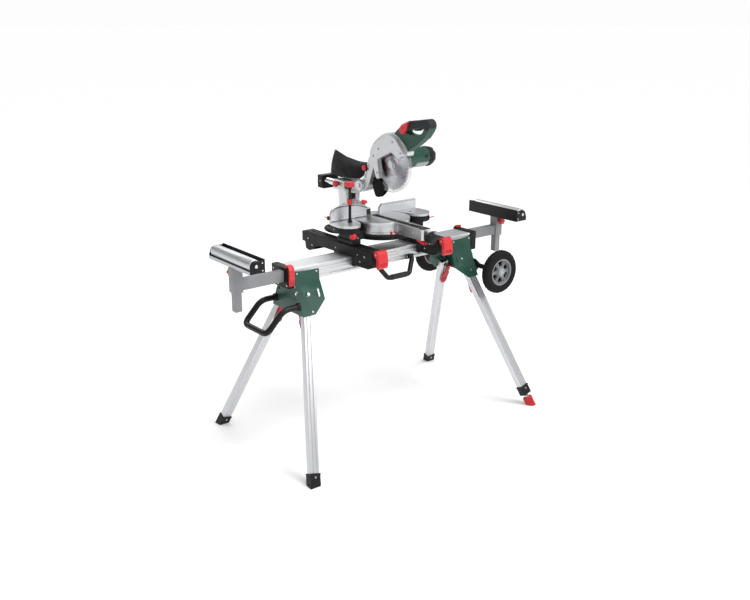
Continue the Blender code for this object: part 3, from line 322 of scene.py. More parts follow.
def make_finishes():
    """Every finish by name, with the record slot it belongs to."""
    table = {
        "beam": (extruded("beam aluminium", (5, 420, 420), colour=(0.66, 0.67, 0.68)), "aluminium"),
        "alu_x": (extruded("extruded aluminium", (6, 500, 500)), "aluminium"),
        "alu_y": (extruded("drawn aluminium", (500, 6, 500), colour=(0.62, 0.63, 0.65)), "aluminium"),
        "channel": (extruded("folded aluminium", (500, 8, 500), colour=(0.50, 0.51, 0.53)), "aluminium"),
        "machined": (extruded("machined aluminium", (420, 12, 420), colour=(0.62, 0.63, 0.64),
                              roughness=(0.30, 0.46)), "cast"),
        "turned": (extruded("turned aluminium", (40, 40, 900), colour=(0.60, 0.61, 0.62),
                            roughness=(0.28, 0.42)), "cast"),
        "cast": (cast_metal("cast aluminium", (0.66, 0.67, 0.68)), "cast"),
        "cast_dark": (cast_metal("dark casting", (0.25, 0.255, 0.26), 0.6), "cast"),
        "green": (coated("green powder coat", (0.018, 0.072, 0.050), Specular_IOR_Level=0.4), "green"),
        "green_plastic": (moulded("green plastic", (0.011, 0.064, 0.042), (0.34, 0.48),
                                  Specular_IOR_Level=0.4), "green_plastic"),
        "black": (moulded("black plastic", (0.0048, 0.0050, 0.0060), (0.42, 0.58),
                          Specular_IOR_Level=0.28), "black"),
        "black_gloss": (moulded("smooth black plastic", (0.007, 0.007, 0.008), (0.24, 0.36), 0.00004,
                                Specular_IOR_Level=0.35), "black"),
        "black_metal": (coated("black powder coat", (0.0050, 0.0050, 0.0060),
                               Specular_IOR_Level=0.3), "black_metal"),
        "rubber": (rubber_like("tyre rubber", (0.0055, 0.0055, 0.0060)), "rubber"),
        "grip": (gripped("soft grip", (0.018, 0.019, 0.021)), "black"),
        "red": (moulded("red plastic", (0.64, 0.020, 0.026), (0.30, 0.44)), "red"),
        "deep_red": (moulded("deep red plastic", (0.50, 0.010, 0.014), (0.34, 0.48)), "red"),
        "grey": (coated("grey paint", (0.235, 0.240, 0.250), (0.32, 0.46)), "grey"),
        "grey_light": (coated("light grey paint", (0.34, 0.345, 0.355), (0.32, 0.46)), "grey"),
        "grey_plastic": (moulded("grey plastic", (0.20, 0.205, 0.215), (0.34, 0.48)), "grey_plastic"),
        "hub": (moulded("hub plastic", (0.42, 0.43, 0.44), (0.30, 0.42)), "grey_plastic"),
        "zinc": (cast_metal("zinc plated steel", (0.66, 0.67, 0.68), 1.0, (0.24, 0.36)), "steel"),
        "rail_steel": (extruded("ground steel rod", (700, 10, 700), colour=(0.66, 0.67, 0.69),
                                roughness=(0.14, 0.26)), "steel"),
        # blade steel: ground rings in roughness and bump, plus a painted highlight in radial streaks of
        # base colour
        "blade": (ground_steel("blade steel", (0.34, 0.35, 0.37), ARBOR), "steel"),
        "carbide": (cast_metal("carbide", (0.50, 0.50, 0.51), 1.0, (0.24, 0.34)), "steel"),
        "clear": (clear_plastic("clear plastic", 0.13), "clear"),
        "clear_rim": (clear_plastic("clear plastic edge", 0.42), "clear"),
        "fabric": (woven("bag cloth", (0.010, 0.010, 0.012)), "fabric"),
        "webbing": (woven("seam tape", (0.016, 0.016, 0.018)), "fabric"),
        "ink": (moulded("printed mark", (0.020, 0.020, 0.022), (0.45, 0.55), 0.00001), "black"),
    }
    for side in (-1, 1):
        for front in (-1, 1):
            table[f"leg_{side}_{front}"] = (
                extruded(f"leg aluminium {side} {front}", (420, 420, 5), leg_rotation(side, front).to_4x4(),
                         (0.64, 0.645, 0.665)), "aluminium")
    return table


FINISHES = make_finishes()


# --- mesh code ----------------------------------------------------------------------------------
def from_rings(rings, closed_path=False):
    """A closed skin through loops of points that all have the same count."""
    shell = bmesh.new()
    loops = [[shell.verts.new(point) for point in ring] for ring in rings]
    count = len(loops[0])
    pairs = list(zip(loops, loops[1:]))
    if closed_path:
        pairs.append((loops[-1], loops[0]))
    for one, two in pairs:
        for index in range(count):
            after = (index + 1) % count
            shell.faces.new((one[index], one[after], two[after], two[index]))
    if not closed_path:
        shell.faces.new(list(reversed(loops[0])))
        shell.faces.new(loops[-1])
    bmesh.ops.recalc_face_normals(shell, faces=shell.faces)
    return shell


def placed(axis, flat, height):
    """A 2D point at a height along an axis: X takes (y, z), Y takes (x, z), Z takes (x, y)."""
    first, second = flat
    return {"X": (height, first, second), "Y": (first, height, second), "Z": (first, second, height)}[axis]


def prism(outline, axis, low, high):
    return from_rings([[placed(axis, flat, level) for flat in outline] for level in (low, high)])


def box(x0, x1, y0, y1, z0, z1):
    return prism([(x0, y0), (x1, y0), (x1, y1), (x0, y1)], "Z", z0, z1)


def circle(centre, radius, sides, start=0.0, end=2 * pi):
    """Points round a circle, or along an arc when start and end say so."""
    whole = abs(end - start - 2 * pi) < 1e-9
    steps = sides if whole else sides - 1
    turns = [start + (end - start) * step / steps for step in range(sides)]
    return [(centre[0] + radius * cos(turn), centre[1] + radius * sin(turn)) for turn in turns]


def disc(axis, centre, radius, low, high, sides=32):
    return prism(circle(centre, radius, sides), axis, low, high)


def stacked(axis, centre, levels, sides=48, phase=0.0):
    """A solid of revolution from (height, radius) levels."""
    return from_rings([[placed(axis, flat, height) for flat in
                        circle(centre, max(radius, 1e-5), sides, phase, 2 * pi + phase)]
                       for height, radius in levels])


def turned(profile, axis, centre, sides=64, ripple=None):
    """A ring turned from a closed profile of (radius, height) points.

    ripple(step, index) adds to a point's radius."""
    rings = []
    for step in range(sides):
        turn = 2 * pi * step / sides
        ring = []
        for index, (radius, height) in enumerate(profile):
            reach = radius + (ripple(step, index) if ripple else 0.0)
            ring.append(placed(axis, (centre[0] + reach * cos(turn), centre[1] + reach * sin(turn)),
                               height))
        rings.append(ring)
    return from_rings(rings, closed_path=True)


def swept(profile, centre, start, end, steps):
    """A closed profile of (radius, x) points swept round an X axis from one angle to another."""
    rings = []
    for step in range(steps + 1):
        turn = start + (end - start) * step / steps
        rings.append([(x, centre[0] + radius * cos(turn), centre[1] + radius * sin(turn))
                      for radius, x in profile])
    return from_rings(rings)


def rod(start, end, radius, sides=24, end_radius=None):
    start = Vector(start)
    along = Vector(end) - start
    turn = along.to_track_quat("Z", "Y").to_matrix()
    last = radius if end_radius is None else end_radius
    rings = []
    for base, size in ((start, radius), (start + along, last)):
        rings.append([base + turn @ Vector((x, y, 0.0)) for x, y in circle((0, 0), size, sides)])
    return from_rings(rings)


def rounded(points, radius, steps=8):
    """A path whose inner corners are turned into short arcs."""
    path = [Vector(points[0])]
    for before, corner, after in zip(points, points[1:], points[2:]):
        corner = Vector(corner)
        back = (Vector(before) - corner).normalized() * radius
        on = (Vector(after) - corner).normalized() * radius
        for step in range(steps + 1):
            share = step / steps
            path.append(corner + back * (1 - share) ** 2 + on * share ** 2)
    path.append(Vector(points[-1]))
    return path


def bar(path, radius, sides=24):
    """A round bar along a path, mitred at each point. radius may be a function of the share along it."""
    rings = []
    side = Vector((0.0, 0.0, 1.0))
    for index, point in enumerate(path):
        before = path[max(index - 1, 0)]
        after = path[min(index + 1, len(path) - 1)]
        along = (after - before).normalized()
        across = along.cross(side)
        if across.length < 0.2:
            across = along.cross(Vector((1.0, 0.0, 0.0)))
        across.normalize()
        up = across.cross(along)
        size = radius(index / (len(path) - 1)) if callable(radius) else radius
        rings.append([point + across * x + up * y for x, y in circle((0, 0), size, sides)])
    return from_rings(rings)


def lobed(centre, radius, lobes, depth, sides=96):
    """Outline of a knob with scalloped grips."""
    points = []
    for step in range(sides):
        turn = 2 * pi * step / sides
        reach = radius - depth * (0.5 - 0.5 * cos(lobes * turn)) ** 1.5
        points.append((centre[0] + reach * cos(turn), centre[1] + reach * sin(turn)))
    return points


def knob(axis, centre, low, high, radius, lobes, depth, sides=96):
    """Scalloped knob with rounded shoulders and a slightly domed face; high is the face's end."""
    span = high - low
    levels = [(0.0, 0.86), (0.06, 0.95), (0.16, 1.0), (0.70, 1.0), (0.84, 0.965), (0.94, 0.88),
              (0.985, 0.72), (1.0, 0.45)]
    rings = []
    for share, reach in levels:
        outline = lobed(centre, radius * reach, lobes, depth * reach * reach, sides)
        rings.append([placed(axis, flat, low + span * share) for flat in outline])
    return from_rings(rings)


def joined(shells):
    """Separate solids in one mesh."""
    whole = bmesh.new()
    for shell in shells:
        mesh = bpy.data.meshes.new("piece")
        shell.to_mesh(mesh)
        shell.free()
        whole.from_mesh(mesh)
        bpy.data.meshes.remove(mesh)
    return whole


def moved(shell, matrix):
    bmesh.ops.transform(shell, matrix=matrix, verts=shell.verts)
    bmesh.ops.recalc_face_normals(shell, faces=shell.faces)
    return shell


def temporary(shell):
    mesh = bpy.data.meshes.new("temporary")
    shell.to_mesh(mesh)
    shell.free()
    item = bpy.data.objects.new("temporary", mesh)
    bpy.context.scene.collection.objects.link(item)
    return item


def combined(base, steps):
    """base after Boolean steps, each (operation, shell)."""
    item = temporary(base)
    helpers = []
    for operation, shell in steps:
        helper = temporary(shell)
        helpers.append(helper)
        change = item.modifiers.new(operation, "BOOLEAN")
        change.operation = operation
        change.solver = "EXACT"
        change.object = helper
    evaluated = item.evaluated_get(bpy.context.evaluated_depsgraph_get())
    result = bmesh.new()
    result.from_mesh(evaluated.to_mesh())
    evaluated.to_mesh_clear()
    for spare in (item, *helpers):
        mesh = spare.data
        bpy.data.objects.remove(spare)
        bpy.data.meshes.remove(mesh)
    return result


def carved(base, *cutters):
    return combined(base, [("DIFFERENCE", cutter) for cutter in cutters])


def fused(base, *more):
    return combined(base, [("UNION", shell) for shell in more])


def piece(name, shell, body, finish, bevel=0.0, segments=2, angle=38, edge_angle=30, replaces=()):
    """A finished object that rides on a body. The mesh is placed in the row frame."""
    material, record_slot = FINISHES[finish]
    mesh = bpy.data.meshes.new(name)
    bmesh.ops.remove_doubles(shell, verts=shell.verts, dist=1e-6)
    shell.to_mesh(mesh)
    shell.free()
    mesh.materials.clear()
    mesh.materials.append(material)
    mesh.shade_smooth()
    mesh.set_sharp_from_angle(angle=radians(angle))
    item = bpy.data.objects.new(name, mesh)
    bpy.context.scene.collection.objects.link(item)
    if bevel:
        soften = item.modifiers.new("edges", "BEVEL")
        soften.width = bevel
        soften.segments = segments
        soften.limit_method = "ANGLE"
        soften.angle_limit = radians(edge_angle)
        soften.use_clamp_overlap = True
        soften.harden_normals = True
        mesh.set_sharp_from_angle(angle=radians(80))
    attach(item, body)
    if replaces:
        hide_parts(*replaces)
    return item


def cad_shell(node):
    """A CAD node's solid with its split vertices sewn and its flat faces made whole again."""
    shell = bmesh.new()
    shell.from_mesh(frame["nodes"][node].data)
    bmesh.ops.remove_doubles(shell, verts=shell.verts, dist=2e-6)
    bmesh.ops.dissolve_limit(shell, angle_limit=radians(0.6), verts=shell.verts, edges=shell.edges)
    bmesh.ops.recalc_face_normals(shell, faces=shell.faces)
    return shell


def refined(node, finish, bevel=0.0008, segments=2, cut=(), **shading):
    """A CAD node's own shape with rounded edges, and with any small recesses cut."""
    shell = cad_shell(node)
    if cut:
        shell = carved(shell, *cut)
    return piece(f"{node}.skin", shell, BODY_OF[node], finish, bevel, segments, replaces=(node,), **shading)


def side_name(side):
    """side is -1 towards the pull handle and +1 towards the wheels."""
    return "left" if side < 0 else "right"


def end_name(front):
    """front is -1 on the operator's side and +1 behind."""
    return "front" if front < 0 else "rear"


def standing(spot, direction):
    """The matrix that stands a shape's Z axis on a spot, along a direction."""
    turn = Vector(direction).normalized().to_track_quat("Z", "Y").to_matrix().to_4x4()
    return Matrix.Translation(Vector(spot)) @ turn


def screw_head(spot, direction, radius, height=0.0022, kind="hex"):
    """Button-head screw standing on a surface, with a recess for its key."""
    matrix = standing(spot, direction)
    levels = [(-0.0006, radius), (height * 0.35, radius), (height * 0.75, radius * 0.86),
              (height, radius * 0.60)]
    head = stacked("Z", (0, 0), levels, 24)
    bottom, above = height * (1 - SCREW_RECESS), height + 0.001
    if kind == "hex":
        recess = prism(circle((0, 0), radius * 0.42, 6), "Z", bottom, above)
    else:
        arm, wide = radius * 0.55, radius * 0.13
        recess = fused(box(-arm, arm, -wide, wide, bottom, above),
                       box(-wide, wide, -arm, arm, bottom, above))
    return moved(carved(head, recess), matrix)


def hex_nut(spot, direction, radius, height):
    """Hexagon head with a washer under it."""
    washer = stacked("Z", (0, 0), [(-0.0004, radius * 1.35), (0.0012, radius * 1.35)], 32)
    nut = prism(circle((0, 0), radius, 6), "Z", 0.0011, height)
    return moved(joined([washer, nut]), standing(spot, direction))


def ring_band(axis, centre, outer, inner, low, high, sides=48):
    return turned([(inner, low), (outer, low), (outer, high), (inner, high)], axis, centre, sides)


# --- stand: beam, caps and brackets -------------------------------------------------------------
def make_beam():
    """Extrusion with a T-slot and die grooves down each side and two lines along the top."""
    low, high, half = BEAM_LOW, BEAM_HIGH, BEAM_HALF_WIDTH
    side = [(half, low), (half, 0.7475), (half - 0.0055, 0.7485), (half - 0.0055, 0.7585), (half, 0.7595),
            (half, 0.7685), (half - 0.0022, 0.7695), (half - 0.0022, 0.7710), (half, 0.7720),
            (half, 0.7800), (half - 0.0042, 0.7812), (half - 0.0042, 0.7878), (half, 0.7890),
            (half, high - 0.0012), (half - 0.0012, high)]
    lines = []
    for middle in (0.044, 0.015):
        lines += [(middle + 0.0012, high), (middle, high - 0.0009), (middle - 0.0012, high)]
    edge = side + lines
    outline = edge + [(-y, z) for y, z in reversed(edge)]
    hollow = box(-0.6, 0.6, -half + 0.009, half - 0.009, low + 0.005, high - 0.005)
    shell = carved(prism(outline, "X", -BEAM_HALF, BEAM_HALF), hollow)
    piece("beam.skin", shell, "stand", "beam", 0.0004, 1, replaces=("beam",))


def make_caps():
    for side in (-1, 1):
        name = side_name(side)
        refined(f"end_cap_{name}", "black", 0.0022, 3)
        out = side * (BEAM_HALF + 0.033)
        arm_y = side * ARM_Y
        low, high = sorted((out - side * 0.0008, out + side * 0.0022))
        outer = box(low, high, arm_y - 0.0205, arm_y + 0.0205, 0.7385, 0.7955)
        inner = box(low - 0.01, high + 0.01, arm_y - 0.0158, arm_y + 0.0158, 0.7432, 0.7908)
        piece(f"cap_collar_{name}", carved(outer, inner), "stand", "black", 0.0008)
        heads = [screw_head((out, y, z), (side, 0, 0), 0.0042, kind="cross")
                 for y, z in ((-side * 0.045, 0.785), (-side * 0.045, 0.735), (side * 0.051, 0.730),
                              (-side * 0.012, 0.728))]
        piece(f"cap_screws_{name}", joined(heads), "stand", "zinc")
        ribs = []
        for index in range(4):
            x = side * (BEAM_HALF + 0.008 + 0.006 * index)
            ribs.append(box(x - 0.0010, x + 0.0010, -side * 0.050 - 0.012, -side * 0.050 + 0.012,
                            0.8012, 0.8030))
        piece(f"cap_ribs_{name}", joined(ribs), "stand", "black", 0.0004, 1)
        lever = f"arm_clamp_lever_{name}"
        refined(lever, "red", 0.0030, 4)
        low_box, high_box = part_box(lever)
        middle = (low_box.x + high_box.x) / 2
        face = side * 0.0703
        grips = [box(middle - 0.0085, middle + 0.0085, min(face, face - side * 0.003),
                     max(face, face - side * 0.003), z, z + 0.0018) for z in (0.736, 0.741, 0.746, 0.751)]
        piece(f"arm_lever_grips_{name}", joined(grips), BODY_OF[lever], "deep_red", 0.0005, 1)


def plate_y(height):
    """Inner face of a flared side plate at a height, on the +Y side."""
    return BEAM_HALF_WIDTH + PLATE_GAP + max(0.0, BEND_Z - height) * tan(FLARE)


def on_plate(x, z, front, out=0.0):
    """A point on a side plate's outer face and the face's direction."""
    bent = z < BEND_Z
    normal = Vector((0, front * cos(FLARE), sin(FLARE))) if bent else Vector((0, front, 0))
    face = PLATE_THICK / cos(FLARE)
    spot = Vector((x, front * (plate_y(z) + face), z))
    return spot + normal * out, normal


def make_brackets():
    for side in (-1, 1):
        name = side_name(side)
        cuts = []
        for front in (-1, 1):
            spot, normal = on_plate(side * 0.389, 0.682, front)
            turn = Matrix.Translation(spot) @ Matrix.Rotation(-front * FLARE, 4, "X")
            slot = fused(box(-0.0045, 0.0045, -0.02, 0.02, -0.008, 0.008),
                         disc("Y", (0, 0.008), 0.0045, -0.02, 0.02, 16),
                         disc("Y", (0, -0.008), 0.0045, -0.02, 0.02, 16))
            cuts.append(moved(slot, turn))
            if side > 0:
                spot, normal = on_plate(0.462, 0.668, front)
                cuts.append(rod(spot - normal * 0.02, spot + normal * 0.02, 0.0035, 16))
        for y in (-0.060, 0.060):
            cuts.append(disc("X", (y, 0.690), 0.006, min(side * 0.47, side * 0.51),
                             max(side * 0.47, side * 0.51), 20))
        refined(f"leg_bracket_{name}", "green", 0.0006, 2, cut=cuts)
        fixings = []
        for front in (-1, 1):
            pivot_x, pivot_z = LEG_PIVOT[side]
            spot, normal = on_plate(side * pivot_x, pivot_z, front, 0.0006)
            fixings.append(hex_nut(spot, normal, 0.0066, 0.0056))
            for x, z, size in ((0.479, 0.774, 0.0040), (0.384, 0.770, 0.0040)):
                spot, normal = on_plate(side * x, z, front)
                fixings.append(screw_head(spot, normal, size, 0.0018, "cross"))
            spot, normal = on_plate(side * 0.440 if side < 0 else 0.420, 0.618 if side < 0 else 0.690,
                                    front)
            fixings.append(screw_head(spot, normal, 0.0044, 0.0020, "hex"))
        for y in (-0.095, 0.095):
            fixings.append(screw_head((side * BRACKET_OUT, y * 0.75, 0.700), (side, 0, 0), 0.0045,
                                      kind="hex"))
        piece(f"bracket_fixings_{name}", joined(fixings), "stand", "zinc", 0.0002, 1)


# --- stand: legs --------------------------------------------------------------------------------
def leg_centre(side, front):
    pivot_x, pivot_z = LEG_PIVOT[side]
    normal = Vector((0, front * cos(FLARE), sin(FLARE)))
    surface = Vector((side * pivot_x, front * plate_y(pivot_z), pivot_z))
    return surface - normal * (PLATE_GAP + LEG_THICK / 2)


def leg_matrix(side, front):
    across, normal, up = leg_turn(side, front)
    matrix = Matrix.Identity(4)
    for column, axis in enumerate((across, normal, up, leg_centre(side, front))):
        for row in range(3):
            matrix[row][column] = axis[row]
    return matrix


def make_legs():
    for side in (-1, 1):
        for front in (-1, 1):
            corner = f"{end_name(front)}_{side_name(side)}"
            leg, boot = f"leg_{corner}", f"leg_boot_{corner}"
            refined(leg, f"leg_{side}_{front}", 0.0016, 3)
            refined(boot, "black", 0.0065 if not (side > 0 and front < 0) else 0.004, 4)
            matrix = leg_matrix(side, front)
            centre = matrix.translation
            up = Vector(matrix.col[2][:3])
            reach = centre.z / up.z
            end = reach - (0.062 if side > 0 and front < 0 else 0.008)
            lip = box(-0.0242, 0.0242, -0.0192, 0.0192, -end + 0.0330, -end + 0.0385)
            bore = box(-0.0203, 0.0203, -0.0153, 0.0153, -end, -end + 0.06)
            piece(f"boot_lip_{corner}", moved(carved(lip, bore), matrix), leg, "black", 0.0014, 3)
            pins = [moved(rod((0, sign * 0.0145, -end + 0.024), (0, sign * 0.0193, -end + 0.024), 0.0042,
                              20), matrix) for sign in (-1, 1)]
            pins += [moved(rod((0, sign * 0.0140, -0.075), (0, sign * 0.0158, -0.075), 0.0032, 16), matrix)
                     for sign in (-1, 1)]
            piece(f"leg_pins_{corner}", joined(pins), leg, "zinc", 0.0005, 2)
            refined_release(corner, side, front)


def refined_release(corner, side, front):
    """Red paddle with a rolled edge and three grip ribs."""
    node = f"leg_release_{corner}"
    refined(node, "deep_red", 0.0028, 4)
    low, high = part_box(node)
    middle = (low.x + high.x) / 2
    pivot_y = front * (plate_y(RELEASE_Z) - (LEG_THICK + 0.0105) / cos(FLARE))
    matrix = Matrix.Translation((middle, pivot_y, RELEASE_Z)) @ Matrix.Rotation(FLARE * front, 4, "X")
    ribs = [box(-0.0115, 0.0115, -0.0046, 0.0046, z, z + 0.0022) for z in (-0.090, -0.083, -0.076, -0.069)]
    spine = [box(-0.0013, 0.0013, -0.0046, 0.0046, -0.060, -0.010)]
    piece(f"release_ribs_{corner}", moved(joined(ribs + spine), matrix), BODY_OF[node], "deep_red", 0.0008,
          2)


def make_leveller():
    """Screw foot: fluted plastic pad on a threaded stem."""
    matrix = leg_matrix(1, -1)
    up = Vector(matrix.col[2][:3])
    reach = matrix.translation.z / up.z
    top = -(reach - 0.062 + 0.006 + 0.0003)
    flutes = lobed((0, 0), 0.0224, 20, 0.0016, 160)
    levels = [(top - 0.0135, 0.70), (top - 0.0150, 0.90), (top - 0.0185, 1.0), (top - 0.100, 1.0)]
    pad = from_rings([[(x * share, y * share, height) for x, y in flutes] for height, share in levels])
    pad = moved(pad, matrix)
    pad = carved(pad, box(-1, 1, -1, 1, -0.2, 0.0004))
    piece("levelling_foot.skin", pad, "leveller", "deep_red", 0.0008, 2, replaces=("levelling_foot",))
    threads = []
    for index in range(17):
        height = top - 0.0140 + 0.0028 * index
        threads += [(height, 0.0056), (height + 0.0014, 0.0066)]
    stem = moved(stacked("Z", (0, 0), threads, 20), matrix)
    collar = moved(stacked("Z", (0, 0), [(top - 0.0145, 0.0112), (top - 0.0070, 0.0112),
                                         (top - 0.0062, 0.0100)], 6), matrix)
    piece("leveller_stem", joined([stem, collar]), "leveller", "zinc")


# --- stand: handles -----------------------------------------------------------------------------
def make_pull_handle():
    half, start = 0.086, -(BRACKET_OUT + GAP)
    points = [(start, half, HANDLE_Z), (-0.565, half, HANDLE_Z), (-0.648, half, 0.558),
              (-0.648, -half, 0.558), (-0.565, -half, HANDLE_Z), (start, -half, HANDLE_Z)]
    piece("pull_handle.skin", bar(rounded(points, 0.030, 10), 0.0125, 32), "stand", "black_metal",
          replaces=("pull_handle",))
    collars = []
    for end in (-half, half):
        collars.append(stacked("X", (end, HANDLE_Z), [(start, 0.0168), (start - 0.010, 0.0162),
                                                      (start - 0.013, 0.0140)], 36))
    piece("pull_handle_collars", joined(collars), "stand", "black")


def make_carry_handle():
    face = -(BEAM_HALF_WIDTH + GAP)
    left, right = -0.080, 0.120
    points = [(left, face, 0.746), (left, face - 0.018, 0.746), (left + 0.035, -0.108, 0.688),
              (right - 0.045, -0.108, 0.688), (right, face - 0.018, 0.746), (right, face, 0.746)]
    piece("carry_handle.skin", bar(rounded(points, 0.012, 6), 0.0108, 28), "stand", "black_metal",
          replaces=("carry_handle",))
    plates, screws = [], []
    for x in (left, right):
        plates.append(box(x - 0.021, x + 0.021, face - 0.0042, face, 0.7375, 0.7565))
        screws += [screw_head((x + way * 0.0160, face - 0.0042, 0.7470), (0, -1, 0), 0.0034, kind="hex")
                   for way in (-1, 1)]
    piece("carry_handle_plates", joined(plates), "stand", "black_metal", 0.0012, 2)
    piece("carry_handle_screws", joined(screws), "stand", "zinc")
    sleeve = bar([Vector((x, -0.108, 0.688)) for x in (-0.028, -0.026, 0.0, 0.020, 0.040, 0.056, 0.058)],
                 0.0124, 28)
    piece("carry_handle_grip", sleeve, "stand", "grip", 0.0012, 2)


# --- stand: wheels ------------------------------------------------------------------------------
def make_axle():
    refined("wheel_axle", "black_metal", 0.0010, 2)
    parts = []
    for y in (-0.085, 0.085):
        for z in (0.624, 0.672):
            parts.append(screw_head((BRACKET_OUT + 0.0044, y, z), (1, 0, 0), 0.0044, kind="hex"))
    piece("axle_screws", joined(parts), "stand", "zinc")
    for front in (-1, 1):
        tube = stacked("Y", AXLE, [(front * 0.100, 0.0115), (front * 0.196, 0.0115),
                                   (front * 0.198, 0.0100)], 32)
        piece(f"axle_sleeve_{end_name(front)}", tube, "stand", "black")


def wheel_windows(middle):
    """Six rounded windows between the spokes."""
    cutters = []
    outline = [(0.0265, 0.24), (0.0290, 0.31), (0.0440, 0.325), (0.0485, 0.29), (0.0500, 0.20)]
    for step in range(6):
        turn = 2 * pi * step / 6 + pi / 6
        points = [(AXLE[0] + radius * cos(turn + spread), AXLE[1] + radius * sin(turn + spread))
                  for radius, spread in outline]
        points += [(AXLE[0] + radius * cos(turn - spread), AXLE[1] + radius * sin(turn - spread))
                   for radius, spread in reversed(outline)]
        cutters.append(prism(points, "Y", middle - 0.03, middle + 0.03))
    return cutters


def make_wheels():
    for front in (-1, 1):
        name = end_name(front)
        body = f"wheel_{name}"
        inner, outer = 0.212, 0.252
        middle = (inner + outer) / 2
        tread = [(0.0623, 0.0025), (0.0730, 0.0008), (0.0850, 0.0), (0.0915, 0.0015), (0.0955, 0.0050),
                 (0.0985, 0.0095), (0.0998, 0.0130), (0.0975, 0.0138), (0.0975, 0.0158), (0.1000, 0.0166),
                 (0.1000, 0.0234), (0.0975, 0.0242), (0.0975, 0.0262), (0.0998, 0.0270), (0.0985, 0.0305),
                 (0.0955, 0.0350), (0.0915, 0.0385), (0.0850, 0.0400), (0.0730, 0.0392), (0.0623, 0.0375)]
        profile = [(radius, front * (inner + offset)) for radius, offset in tread]

        def blocks(step, index):
            shoulder = index in (4, 5, 6, 13, 14, 15)
            return -0.0016 if shoulder and step % 6 in (0, 1) else 0.0
        piece(f"tyre_{name}.skin", turned(profile, "Y", AXLE, 144, blocks), body, "rubber", angle=50,
              replaces=(f"tyre_{name}",))
        bead = [ring_band("Y", AXLE, 0.0790, 0.0765, front * (face - 0.0006), front * (face + 0.0006), 96)
                for face in (outer - 0.0004, inner + 0.0004)]
        piece(f"tyre_beads_{name}", joined(bead), body, "rubber", 0.0003, 1)
        web = [(0.0084, 0.002), (0.0195, 0.002), (0.0205, 0.004), (0.0215, 0.0155), (0.0525, 0.0165),
               (0.0550, 0.0040), (0.0618, 0.0035), (0.0618, 0.0365), (0.0550, 0.0360), (0.0525, 0.0262),
               (0.0240, 0.0285), (0.0215, 0.0340), (0.0195, 0.0368), (0.0084, 0.0370)]
        ring = turned([(radius, front * (inner + offset)) for radius, offset in web], "Y", AXLE, 96)
        ring = carved(ring, joined(wheel_windows(front * middle)))
        piece(f"wheel_rim_{name}.skin", ring, body, "grey_plastic", 0.0009, 2,
              replaces=(f"wheel_rim_{name}",))
        ribs = []
        for step in range(6):
            turn = 2 * pi * step / 6
            rib = box(0.023, 0.0530, -0.0013, 0.0013, 0.0, 0.0022)
            frame_of = Matrix.Translation((AXLE[0], front * (inner + 0.0272), AXLE[1]))
            spin = Matrix.Rotation(-turn, 4, "Y") @ Matrix.Rotation(-front * pi / 2, 4, "X")
            ribs.append(moved(rib, frame_of @ spin))
        piece(f"wheel_ribs_{name}", joined(ribs), body, "grey_plastic", 0.0006, 1)
        back = ring_band("Y", AXLE, 0.0545, 0.0210, front * (inner + 0.0060), front * (inner + 0.0080), 64)
        piece(f"wheel_back_{name}", back, body, "black")
        cap = stacked("Y", AXLE, [(front * (outer - 0.0050), 0.0168), (front * (outer - 0.0018), 0.0166),
                                  (front * (outer - 0.0004), 0.0150), (front * (outer + 0.0002), 0.0105),
                                  (front * (outer + 0.0004), 0.004)], 48)
        piece(f"wheel_cap_{name}", cap, body, "hub")
        marks = ring_band("Y", AXLE, 0.0112, 0.0098, front * (outer - 0.0006), front * (outer + 0.0009), 48)
        piece(f"wheel_cap_ring_{name}", marks, body, "black")


# --- stand: extension arms and roller supports --------------------------------------------------
def make_extensions():
    for side in (-1, 1):
        name = side_name(side)
        refined(f"extension_arm_{name}", "grey", 0.0016, 3)
        y, x = side * ARM_Y, side * POST_X
        low, high = sorted((x - side * 0.0225, x - side * 0.0205))
        weld = box(low, high, y - 0.0165, y + 0.0165, 0.7425, 0.7915)
        piece(f"arm_weld_{name}", weld, f"extension_{name}", "grey", 0.0009, 3)
        boss = disc("Y", (x, KNOB_Z), 0.0125, *sorted((y - side * 0.0190, y - side * 0.0207)), 32)
        piece(f"arm_boss_{name}", boss, f"extension_{name}", "grey", 0.0005, 2)
        make_support(side)
        make_height_knob(side)


